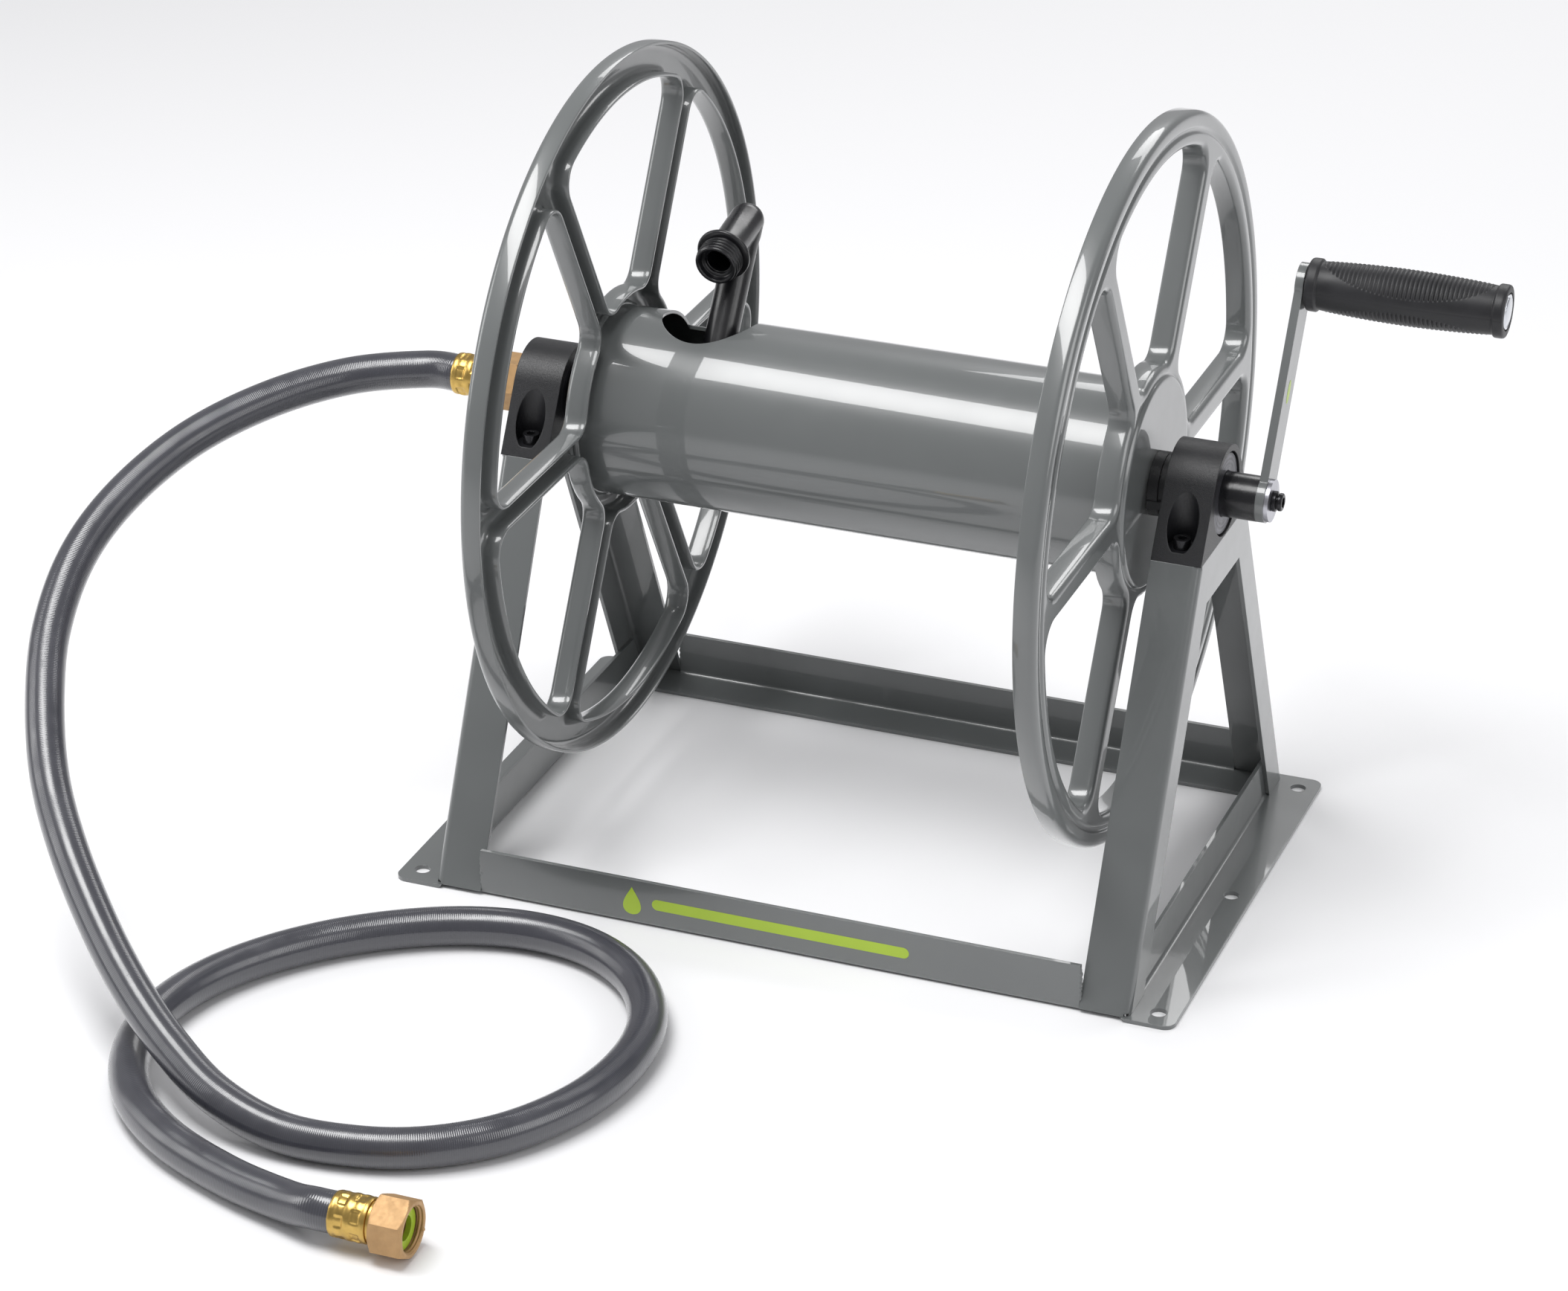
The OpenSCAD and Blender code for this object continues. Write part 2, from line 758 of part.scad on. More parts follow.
module grip_spindle() {
    length = grip_x - arm_x + grip_length - grip_end_cap;
    color("#8d8f94") translate([arm_x, grip_y, grip_z]) rotate([0, 90, 0])
        cylinder(d = spindle_dia, h = length);
}

module grip_end_disc() {
    start = grip_x + grip_length - grip_end_cap;
    color("#c3c6c9") translate([start, grip_y, grip_z]) rotate([0, 90, 0]) rotate_extrude()
        polygon([
            [0, 0], [grip_core_dia / 2, 0], [grip_core_dia / 2, 1.5],
            [10.5, 1.5], [10.5, grip_end_cap], [8, grip_end_cap + 1], [0, grip_end_cap + 1]
        ]);
}

module grip_core() {
    length = grip_length - grip_end_cap - 2 * running_gap;
    color("#303134") translate([grip_x, grip_y, grip_z]) rotate([0, 90, 0]) difference() {
        cylinder(d = grip_core_dia, h = length);
        translate([0, 0, -1]) cylinder(d = spindle_dia + 2 * running_gap, h = length + 2);
    }
}

// radius of the grip barrel at a fraction along its length
function grip_radius(f) =
    (grip_neck + (grip_dia - grip_neck) * pow(sin(180 * f), 0.7)) / 2;

module grip_sleeve() {
    first = grip_collar_length;
    last = grip_length - grip_collar_length;
    color("#202124") translate([grip_x, grip_y, grip_z]) rotate([0, 90, 0])
        rotate_extrude() difference() {
            polygon(concat(
                [[grip_core_dia / 2, 0], [grip_collar / 2 - 1, 0], [grip_collar / 2, 1],
                    [grip_collar / 2, first - 1.5], [grip_neck / 2, first]],
                [for (i = [1:11]) [grip_radius(i / 12), first + (last - first) * i / 12]],
                [[grip_neck / 2, last], [grip_collar / 2, last + 1.5],
                    [grip_collar / 2, grip_length - 1], [grip_collar / 2 - 1, grip_length],
                    [grip_core_dia / 2, grip_length]]
            ));
            translate([0, grip_length - grip_end_cap - running_gap])
                square([11, grip_end_cap + 1]);
        }
}

// fitting at the inlet: fixed to the stand, the water axle turns behind its seal
module inlet_swivel() {
    core = thread_dia / 2 - thread_depth;
    color("#1b1c1e") translate([-plate_x, 0, axle_height]) rotate([0, -90, 0]) difference() {
        union() {
            cylinder(d = swivel_dia, h = swivel_length);
            cylinder(r = core, h = swivel_length + swivel_spigot);
            translate([0, 0, -bush_recess]) cylinder(d = swivel_dia, h = bush_recess + eps);
        }
        translate([0, 0, -2]) cylinder(d = water_bore, h = far);
    }
}

// hexagon nut lying along z from its back face
module hose_nut(back) {
    core = thread_dia / 2 - thread_depth;
    difference() {
        intersection() {
            cylinder(d = nut_flats / cos(30), h = nut_length, $fn = 6);
            rotate_extrude() polygon([
                [0, 0], [nut_flats / 2 - nut_face_step, 0],
                [nut_flats / cos(30) / 2, nut_chamfer],
                [nut_flats / cos(30) / 2, nut_length - nut_chamfer],
                [nut_flats / 2 - nut_face_step, nut_length], [0, nut_length]
            ]);
        }
        translate([0, 0, nut_wall]) cylinder(r = core, h = nut_length);
        translate([0, 0, nut_wall])
            cylinder(r = core + nut_relief, h = back + tail_flange + washer_sheet + relief_past);
        translate([0, 0, -1]) cylinder(d = tail_dia + 2 * running_gap, h = nut_length);
    }
}

// flanged tube that carries a nut and ends at the ferrule, face at z = 0
module hose_tail(reach) {
    difference() {
        union() {
            translate([0, 0, -reach]) cylinder(d = tail_dia, h = reach + tail_flange);
            translate([0, 0, running_gap])
                cylinder(d = thread_dia - 2 * thread_depth - 1, h = tail_flange - running_gap);
            translate([0, 0, -reach]) cylinder(d = tail_dia + 3, h = tail_step - 0.2);
        }
        translate([0, 0, -reach - 1]) cylinder(d = water_bore, h = far);
    }
}

module ferrule_shape() {
    band = ferrule_length / 5;
    r = ferrule_dia / 2;
    rotate_extrude() polygon([
        [water_bore / 2, 0], [r - 0.5, 0], [r, 0.5], [r, band],
        [r - ferrule_crimp, band + 1], [r - ferrule_crimp, 2 * band], [r, 2 * band + 1],
        [r, 3 * band], [r - ferrule_crimp, 3 * band + 1], [r - ferrule_crimp, 4 * band],
        [r, 4 * band + 1], [r, ferrule_length - 0.5], [r - 0.5, ferrule_length],
        [water_bore / 2, ferrule_length]
    ]);
}

module inlet_nut() {
    color("#c99a55") translate([inlet_nut_x - nut_length, 0, axle_height])
        rotate([0, 90, 0]) rotate(30) hose_nut(0);
}

module inlet_tail() {
    color("#c8a53a") translate([inlet_nut_x - nut_length + nut_wall, 0, axle_height])
        rotate([0, 90, 0]) hose_tail(nut_wall + tail_step);
}

module inlet_ferrule() {
    color("#c8a53a") translate([hose_start_x, 0, axle_height]) rotate([0, 90, 0])
        ferrule_shape();
}

module end_ferrule() {
    color("#c8a53a") translate([end_x, end_y, end_z]) rotate([0, 90, 0]) ferrule_shape();
}

module end_tail() {
    face = end_x + ferrule_length + tail_step + nut_wall + nut_back;
    color("#c8a53a") translate([face, end_y, end_z]) rotate([0, 90, 0])
        hose_tail(nut_wall + nut_back + tail_step);
}

module end_washer() {
    face = end_x + ferrule_length + tail_step + nut_wall + nut_back + tail_flange;
    color("#a9c83a") translate([face, end_y, end_z]) rotate([0, 90, 0]) difference() {
        cylinder(d = thread_dia - 2 * thread_depth - 0.6, h = washer_sheet);
        translate([0, 0, -1]) cylinder(d = water_bore, h = washer_sheet + 2);
    }
}

module end_nut() {
    color("#c99a55") translate([end_x + ferrule_length + tail_step, end_y, end_z])
        rotate([0, 90, 0]) hose_nut(nut_back);
}

// smooth curve through the route points
function route_at(p, i, t) =
    let(
        last = len(p) - 1,
        a = p[max(i - 1, 0)], b = p[i], c = p[min(i + 1, last)], d = p[min(i + 2, last)]
    )
    0.5 * (2 * b + (c - a) * t + (2 * a - 5 * b + 4 * c - d) * t * t
        + (3 * b - a - 3 * c + d) * t * t * t);
function route_line(p, n) = concat(
    [for (i = [0:len(p) - 2]) for (j = [0:n - 1]) route_at(p, i, j / n)],
    [p[len(p) - 1]]
);
function unit(v) = v / norm(v);
function heading(p, i) = unit(p[min(i + 1, len(p) - 1)] - p[max(i - 1, 0)]);
function ring(p, i, r, n) =
    let(
        h = i == 0 ? [-1, 0, 0] : i == len(p) - 1 ? [1, 0, 0] : heading(p, i),
        side = unit(cross(h, [0, 0, 1])),
        up = cross(side, h)
    )
    [for (k = [0:n - 1]) p[i] + r * (cos(360 * k / n) * side + sin(360 * k / n) * up)];

module leader_hose() {
    line = route_line(hose_route, hose_steps);
    rings = len(line);
    points = [for (i = [0:rings - 1]) each ring(line, i, hose_r, hose_sides)];
    n = hose_sides;
    walls = [for (i = [0:rings - 2]) for (k = [0:n - 1])
        [i * n + k, i * n + (k + 1) % n, (i + 1) * n + (k + 1) % n, (i + 1) * n + k]];
    start_cap = [for (k = [n - 1:-1:0]) k];
    end_cap = [for (k = [0:n - 1]) (rings - 1) * n + k];
    color("#4a4c57") polyhedron(points = points, faces = concat(walls, [start_cap, end_cap]));
}

left_side_frame();
right_side_frame();
left_foot_rail();
right_foot_rail();
front_rail();
rear_rail();
left_bearing_block();
right_bearing_block();
left_bush();
right_bush();
left_front_screw();
left_rear_screw();
right_front_screw();
right_rear_screw();
inlet_swivel();
inlet_nut();
inlet_tail();
inlet_ferrule();
leader_hose();
end_ferrule();
end_tail();
end_washer();
end_nut();
drum();
left_flange();
right_flange();
water_axle();
left_collar();
outlet_pipe();
crank_shaft();
right_collar();
crank_arm();
crank_washer();
crank_screw();
grip_spindle();
grip_core();
grip_sleeve();
grip_end_disc();
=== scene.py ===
import math

import bmesh
import bpy
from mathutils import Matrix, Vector, noise


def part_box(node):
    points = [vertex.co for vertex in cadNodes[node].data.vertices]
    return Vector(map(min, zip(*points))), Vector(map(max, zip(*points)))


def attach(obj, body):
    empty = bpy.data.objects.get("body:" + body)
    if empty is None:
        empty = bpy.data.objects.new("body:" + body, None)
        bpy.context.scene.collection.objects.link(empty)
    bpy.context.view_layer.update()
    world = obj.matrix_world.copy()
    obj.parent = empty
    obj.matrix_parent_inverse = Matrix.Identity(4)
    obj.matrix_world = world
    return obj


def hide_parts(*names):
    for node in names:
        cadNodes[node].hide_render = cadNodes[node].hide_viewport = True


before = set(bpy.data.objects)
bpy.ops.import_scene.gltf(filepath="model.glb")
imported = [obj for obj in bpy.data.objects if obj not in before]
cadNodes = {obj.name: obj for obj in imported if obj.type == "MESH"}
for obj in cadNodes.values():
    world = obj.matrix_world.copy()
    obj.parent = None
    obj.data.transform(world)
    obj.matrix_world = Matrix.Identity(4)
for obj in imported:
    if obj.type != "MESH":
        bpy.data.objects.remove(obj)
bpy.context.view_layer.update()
mm = 0.001
print("frame loaded with", len(cadNodes), "nodes")

# places that the rest is worked out from
axle = sum(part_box("right_bush"), Vector()) / 2
axle.x = 0
gripAxis = sum(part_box("grip_sleeve"), Vector()) / 2


# camera

cameraView = {
    "place": (0.8856, -2.4158, 1.4069),
    "tilt": 63.555,        # degrees up from looking straight down
    "turn": 21.272,        # degrees round to the crank side
    "lens": 109.63,
    "sensor": 36.0,
}


def placeCamera(view):
    data = bpy.data.cameras.new("viewCamera")
    data.lens = view["lens"]
    data.sensor_width = view["sensor"]
    data.sensor_fit = "HORIZONTAL"
    camera = bpy.data.objects.new("viewCamera", data)
    camera.location = view["place"]
    camera.rotation_euler = (math.radians(view["tilt"]), 0, math.radians(view["turn"]))
    bpy.context.scene.collection.objects.link(camera)
    bpy.context.scene.camera = camera


placeCamera(cameraView)
print("camera placed")


# finishes

def startFinish(name, recipe):
    # a plain shader with the even values of a recipe
    finish = bpy.data.materials.new(name)
    finish.use_nodes = True
    tree = finish.node_tree
    shader = tree.nodes["Principled BSDF"]
    shader.inputs["Base Color"].default_value = (*recipe["colour"], 1)
    shader.inputs["Metallic"].default_value = recipe.get("metal", 0)
    shader.inputs["Roughness"].default_value = recipe["rough"]
    shader.inputs["Coat Weight"].default_value = recipe.get("coat", 0)
    shader.inputs["Coat Roughness"].default_value = recipe.get("coatRough", 0.05)
    shader.inputs["Specular IOR Level"].default_value = recipe.get("shine", 0.5)
    shader.inputs["Sheen Weight"].default_value = recipe.get("sheen", 0)
    finish.diffuse_color = (*recipe["colour"], 1)
    return finish, tree, shader


def addNode(tree, kind, **inputs):
    node = tree.nodes.new(kind)
    for key, value in inputs.items():
        node.inputs[key].default_value = value
    return node


def noiseField(tree, place, scale, detail):
    field = addNode(tree, "ShaderNodeTexNoise", Scale=scale, Detail=detail)
    tree.links.new(place.outputs["Object"], field.inputs["Vector"])
    return field.outputs["Fac"]


def stackBump(tree, height, depth, under=None):
    bump = addNode(tree, "ShaderNodeBump", Strength=1.0, Distance=depth)
    tree.links.new(height, bump.inputs["Height"])
    if under is not None:
        tree.links.new(under, bump.inputs["Normal"])
    return bump.outputs["Normal"]


def softEdges(tree, radius):
    bevel = tree.nodes.new("ShaderNodeBevel")
    bevel.samples = 4
    bevel.inputs["Radius"].default_value = radius
    return bevel.outputs["Normal"]


def shiftTone(tree, shader, field, recipe):
    # colour drifts between two near tones of the finish
    ramp = tree.nodes.new("ShaderNodeValToRGB")
    low, high = ramp.color_ramp.elements
    spread = recipe.get("drift", 0.06)
    low.position, high.position = 0.3, 0.7
    low.color = (*[c * (1 - spread) for c in recipe["colour"]], 1)
    high.color = (*[min(1, c * (1 + spread)) for c in recipe["colour"]], 1)
    tree.links.new(field, ramp.inputs["Fac"])
    tree.links.new(ramp.outputs["Color"], shader.inputs["Base Color"])


def shiftRoughness(tree, shader, field, recipe):
    span = recipe.get("roughDrift", 0.05)
    remap = addNode(tree, "ShaderNodeMapRange")
    remap.inputs["From Min"].default_value = 0.3
    remap.inputs["From Max"].default_value = 0.7
    remap.inputs["To Min"].default_value = recipe["rough"] - span
    remap.inputs["To Max"].default_value = recipe["rough"] + span
    tree.links.new(field, remap.inputs["Value"])
    tree.links.new(remap.outputs["Result"], shader.inputs["Roughness"])


def coatedFinish(name, recipe):
    # one smooth or grained surface: soft edges, waviness, fine grain, drifting tone
    finish, tree, shader = startFinish(name, recipe)
    place = tree.nodes.new("ShaderNodeTexCoord")
    normal = softEdges(tree, recipe.get("edge", 0.6 * mm))
    if recipe.get("waveDepth"):
        wave = noiseField(tree, place, recipe["waveScale"], 2)
        normal = stackBump(tree, wave, recipe["waveDepth"], normal)
    if recipe.get("grainDepth"):
        grain = noiseField(tree, place, recipe["grainScale"], 4)
        normal = stackBump(tree, grain, recipe["grainDepth"], normal)
    tree.links.new(normal, shader.inputs["Normal"])
    if recipe.get("coat"):
        tree.links.new(normal, shader.inputs["Coat Normal"])
    drift = noiseField(tree, place, recipe.get("driftScale", 18), 3)
    shiftTone(tree, shader, drift, recipe)
    shiftRoughness(tree, shader, noiseField(tree, place, recipe.get("smudgeScale", 60), 4), recipe)
    return finish


enamelRecipe = {
    "colour": (0.122, 0.13, 0.13), "rough": 0.3, "coat": 1.0, "coatRough": 0.025, "shine": 0.6,
    "waveScale": 90, "waveDepth": 0.006 * mm, "drift": 0.04, "driftScale": 14, "roughDrift": 0.02,
    "edge": 0.7 * mm,
}
blockRecipe = {
    "colour": (0.009, 0.0092, 0.011), "rough": 0.38, "shine": 0.55,
    "waveScale": 700, "waveDepth": 0.06 * mm, "grainScale": 2600, "grainDepth": 0.14 * mm,
    "drift": 0.2, "driftScale": 900, "roughDrift": 0.1, "smudgeScale": 1500, "edge": 0.9 * mm,
}
pipeRecipe = {
    "colour": (0.0055, 0.0055, 0.007), "rough": 0.3, "shine": 0.5, "coat": 0.3, "coatRough": 0.1,
    "waveScale": 240, "waveDepth": 0.05 * mm, "grainScale": 1900, "grainDepth": 0.03 * mm,
    "drift": 0.15, "roughDrift": 0.08, "edge": 0.5 * mm,
}
screwRecipe = {
    "colour": (0.03, 0.03, 0.033), "metal": 0.7, "rough": 0.24,
    "grainScale": 2400, "grainDepth": 0.02 * mm, "drift": 0.2, "edge": 0.4 * mm,
}
brassNutRecipe = {
    "colour": (0.47, 0.29, 0.135), "metal": 0.55, "rough": 0.52,
    "waveScale": 420, "waveDepth": 0.04 * mm, "grainScale": 2600, "grainDepth": 0.035 * mm,
    "drift": 0.09, "driftScale": 160, "roughDrift": 0.08, "smudgeScale": 260, "edge": 0.5 * mm,
}
brassFerruleRecipe = {
    "colour": (0.58, 0.39, 0.115), "metal": 1.0, "rough": 0.34,
    "waveScale": 300, "waveDepth": 0.06 * mm, "grainScale": 1500, "grainDepth": 0.015 * mm,
    "drift": 0.12, "driftScale": 220, "roughDrift": 0.07, "edge": 0.3 * mm,
}
washerRecipe = {
    "colour": (0.36, 0.5, 0.03), "rough": 0.5,
    "grainScale": 1600, "grainDepth": 0.03 * mm, "drift": 0.1, "driftScale": 300, "edge": 0.3 * mm,
}
markRecipe = {
    "colour": (0.38, 0.54, 0.02), "rough": 0.4, "coat": 0.5, "coatRough": 0.1,
    "waveScale": 260, "waveDepth": 0.03 * mm, "drift": 0.05, "edge": 0.1 * mm,
}
gripRecipe = {
    "colour": (0.0125, 0.0125, 0.0145), "rough": 0.46, "shine": 0.45, "sheen": 0.08,
    "waveScale": 200, "waveDepth": 0.03 * mm, "grainScale": 3000, "grainDepth": 0.025 * mm,
    "drift": 0.2, "driftScale": 60, "roughDrift": 0.07, "edge": 0.2 * mm,
}
corePlasticRecipe = {
    "colour": (0.02, 0.02, 0.022), "rough": 0.5, "grainScale": 1500, "grainDepth": 0.02 * mm,
}
chromeRecipe = {
    "colour": (0.72, 0.74, 0.78), "metal": 1.0, "rough": 0.09,
    "waveScale": 120, "waveDepth": 0.03 * mm, "drift": 0.04, "roughDrift": 0.03, "edge": 0.3 * mm,
}
steelRecipe = {
    "colour": (0.5, 0.5, 0.54), "metal": 1.0, "rough": 0.3,
    "grainScale": 1800, "grainDepth": 0.02 * mm, "drift": 0.1, "driftScale": 90, "edge": 0.3 * mm,
}

enamel = coatedFinish("greyEnamel", enamelRecipe)
blockBlack = coatedFinish("texturedBlack", blockRecipe)
pipeBlack = coatedFinish("satinBlack", pipeRecipe)
screwBlack = coatedFinish("blackenedSteel", screwRecipe)
nutBrass = coatedFinish("matteBrass", brassNutRecipe)
ferruleBrass = coatedFinish("pressedBrass", brassFerruleRecipe)
washerRubber = coatedFinish("limeRubber", washerRecipe)
markLime = coatedFinish("limeMark", markRecipe)
gripRubber = coatedFinish("gripRubber", gripRecipe)
corePlastic = coatedFinish("corePlastic", corePlasticRecipe)
chrome = coatedFinish("polishedChrome", chromeRecipe)
zincSteel = coatedFinish("zincSteel", steelRecipe)

turnedRecipe = {
    "colour": (0.1, 0.1, 0.115), "metal": 0.8, "rough": 0.36,
    "ringSpacing": 1.4 * mm, "ringDepth": 0.16 * mm, "drift": 0.35, "driftScale": 120,
}


def turnedMetal(name, recipe):
    # tool marks in circles round the axle
    finish, tree, shader = startFinish(name, recipe)
    place = tree.nodes.new("ShaderNodeTexCoord")
    split = tree.nodes.new("ShaderNodeSeparateXYZ")
    tree.links.new(place.outputs["Object"], split.inputs["Vector"])
    drop = addNode(tree, "ShaderNodeMath")
    drop.operation = "SUBTRACT"
    drop.inputs[1].default_value = axle.z
    tree.links.new(split.outputs["Z"], drop.inputs[0])
    flat = tree.nodes.new("ShaderNodeCombineXYZ")
    tree.links.new(split.outputs["Y"], flat.inputs["X"])
    tree.links.new(drop.outputs[0], flat.inputs["Y"])
    reach = tree.nodes.new("ShaderNodeVectorMath")
    reach.operation = "LENGTH"
    tree.links.new(flat.outputs["Vector"], reach.inputs[0])
    marks = addNode(tree, "ShaderNodeTexNoise", Scale=1 / recipe["ringSpacing"], Detail=4.0)
    marks.noise_dimensions = "1D"
    tree.links.new(reach.outputs["Value"], marks.inputs["W"])
    normal = stackBump(tree, marks.outputs["Fac"], recipe["ringDepth"], softEdges(tree, 0.4 * mm))
    tree.links.new(normal, shader.inputs["Normal"])
    shiftTone(tree, shader, marks.outputs["Fac"], recipe)
    shiftRoughness(tree, shader, noiseField(tree, place, 200, 3), recipe)
    return finish


turnedSteel = turnedMetal("turnedSteel", turnedRecipe)

hoseRecipe = {
    "colour": (0.046, 0.047, 0.06), "rough": 0.32, "coat": 1.0, "coatRough": 0.12, "shine": 0.6,
    "ribSpacing": 1.15 * mm, "ribDepth": 0.11 * mm, "waveScale": 70, "waveDepth": 0.05 * mm,
    "drift": 0.22, "driftScale": 70,
}


def hoseVinyl(name, recipe):
    # cord layers under a glossy skin show as fine ripples across the hose
    finish, tree, shader = startFinish(name, recipe)
    place = tree.nodes.new("ShaderNodeTexCoord")
    along = tree.nodes.new("ShaderNodeUVMap")
    along.uv_map = "hoseMap"
    ribs = addNode(tree, "ShaderNodeTexWave", Scale=1.0, Distortion=1.4, Detail=2.0)
    ribs.inputs["Detail Scale"].default_value = 0.6
    ribs.wave_type = "BANDS"
    ribs.bands_direction = "Y"
    spread = addNode(tree, "ShaderNodeMapping", Scale=(3, 0.314 / recipe["ribSpacing"], 1))
    tree.links.new(along.outputs["UV"], spread.inputs["Vector"])
    tree.links.new(spread.outputs["Vector"], ribs.inputs["Vector"])
    patch = noiseField(tree, place, 45, 3)
    strength = tree.nodes.new("ShaderNodeMath")
    strength.operation = "MULTIPLY"
    tree.links.new(ribs.outputs["Fac"], strength.inputs[0])
    tree.links.new(patch, strength.inputs[1])
    lumps = noiseField(tree, place, recipe["waveScale"], 2)
    normal = stackBump(tree, lumps, recipe["waveDepth"])
    normal = stackBump(tree, strength.outputs[0], recipe["ribDepth"], normal)
    tree.links.new(normal, shader.inputs["Normal"])
    tree.links.new(normal, shader.inputs["Coat Normal"])
    shiftTone(tree, shader, strength.outputs[0], recipe)
    shiftRoughness(tree, shader, patch, recipe)
    return finish


vinyl = hoseVinyl("hoseVinyl", hoseRecipe)
print("finishes mixed")


# mesh helpers

def addPiece(name, points, faces, finish, crease=38, tidy=True):
    mesh = bpy.data.meshes.new(name)
    mesh.from_pydata([tuple(p) for p in points], [], faces)
    if tidy:
        work = bmesh.new()
        work.from_mesh(mesh)
        bmesh.ops.remove_doubles(work, verts=work.verts, dist=1e-6)
        bmesh.ops.recalc_face_normals(work, faces=work.faces)
        work.to_mesh(mesh)
        work.free()
    mesh.shade_smooth()
    mesh.set_sharp_from_angle(angle=math.radians(crease))
    mesh.materials.append(finish)
    piece = bpy.data.objects.new(name, mesh)
    bpy.context.scene.collection.objects.link(piece)
    return piece


def fitPiece(piece, body, slotName, *standsFor):
    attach(piece, body)
    if standsFor:
        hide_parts(*standsFor)


def ringFaces(rings, size, closedLoop=False):
    # quads between neighbouring rings of points
    faces = []
    for i in range(rings if closedLoop else rings - 1):
        j = (i + 1) % rings
        for k in range(size):
            n = (k + 1) % size
            faces.append((i * size + k, i * size + n, j * size + n, j * size + k))
    return faces


def axisFrame(direction):
    ahead = Vector(direction).normalized()
    up = Vector((0, 0, 1)) if abs(ahead.z) < 0.9 else Vector((0, 1, 0))
    side = up.cross(ahead).normalized()
    return ahead, side, ahead.cross(side)


def turnedRings(outline, start, direction, steps=96, radiusAt=None):
    # outline is a list of (distance along the axis, radius)
    ahead, side, up = axisFrame(direction)
    points = []
    for along, radius in outline:
        for k in range(steps):
            angle = 2 * math.pi * k / steps
            r = radius if radiusAt is None else radiusAt(along, radius, angle)
            spoke = side * math.cos(angle) + up * math.sin(angle)
            points.append(Vector(start) + ahead * along + spoke * r)
    return points


def turnedPiece(name, outline, start, direction, finish, steps=96, hollow=False, radiusAt=None, crease=38):
    points = turnedRings(outline, start, direction, steps, radiusAt)
    faces = ringFaces(len(outline), steps, hollow)
    return addPiece(name, points, faces, finish, crease)


def arc(centre, radius, fromAngle, toAngle, steps):
    # points of an arc in a plane, angles in degrees
    found = []
    for i in range(steps + 1):
        angle = math.radians(fromAngle + (toAngle - fromAngle) * i / steps)
        found.append((centre[0] + radius * math.cos(angle), centre[1] + radius * math.sin(angle)))
    return found


def smoothLine(route, steps):
    # the same smooth curve through the route points that the solid hose follows
    line = []
    last = len(route) - 1
    for i in range(last):
        a, b = Vector(route[max(i - 1, 0)]), Vector(route[i])
        c, d = Vector(route[i + 1]), Vector(route[min(i + 2, last)])
        for j in range(steps):
            t = j / steps
            line.append(0.5 * (2 * b + (c - a) * t + (2 * a - 5 * b + 4 * c - d) * t * t
                               + (3 * b - a - 3 * c + d) * t ** 3))
    return line + [Vector(route[last])]


def sweepRings(line, sizes, steps, firstHeading=None, lastHeading=None):
    # rings of points square to a line; sizes gives one radius for each point of the line
    points = []
    last = len(line) - 1
    side = None
    for i, centre in enumerate(line):
        ahead = (line[min(i + 1, last)] - line[max(i - 1, 0)]).normalized()
        if i == 0 and firstHeading:
            ahead = Vector(firstHeading)
        if i == last and lastHeading:
            ahead = Vector(lastHeading)
        side = axisFrame(ahead)[1] if side is None else (side - ahead * side.dot(ahead)).normalized()
        up = ahead.cross(side)
        for k in range(steps):
            angle = 2 * math.pi * k / steps
            points.append(centre + (side * math.cos(angle) + up * math.sin(angle)) * sizes[i])
    return points


# leader hose

hose = {
    "diameter": 23 * mm,
    "stepsPerPoint": 14,
    "sides": 64,
    "lie": 12 * mm,
}
hoseStart = Vector((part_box("inlet_ferrule")[0].x, axle.y, axle.z))
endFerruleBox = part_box("end_ferrule")
hoseEnd = Vector((endFerruleBox[0].x, *((endFerruleBox[0] + endFerruleBox[1]) / 2).yz))
lie = hose["lie"]
hoseRoute = [
    hoseStart, hoseStart + Vector((-0.022, 0, -0.001)),
    (-0.332, -0.018, 0.259), (-0.368, -0.056, 0.253), (-0.398, -0.102, 0.241), (-0.417, -0.152, 0.223),
    (-0.424, -0.198, 0.202), (-0.419, -0.242, 0.176), (-0.404, -0.281, 0.150), (-0.383, -0.317, 0.121),
    (-0.354, -0.350, 0.095), (-0.318, -0.382, 0.068), (-0.284, -0.408, 0.048), (-0.250, -0.430, 0.033),
    (-0.214, -0.448, 0.021), (-0.172, -0.457, 0.013), (-0.128, -0.454, lie), (-0.090, -0.440, lie),
    (-0.056, -0.411, lie), (-0.032, -0.367, lie), (-0.024, -0.318, lie), (-0.032, -0.272, lie),
    (-0.057, -0.234, lie), (-0.094, -0.211, lie), (-0.138, -0.206, lie), (-0.184, -0.219, lie),
    (-0.228, -0.247, lie), (-0.263, -0.284, lie), (-0.286, -0.326, lie), (-0.294, -0.371, lie),
    (-0.286, -0.414, lie), (-0.263, -0.453, lie), (-0.226, -0.484, lie), (-0.178, -0.506, lie),
    (-0.136, -0.519, 0.014), hoseEnd + Vector((-0.012, 0, 0)), hoseEnd,
]


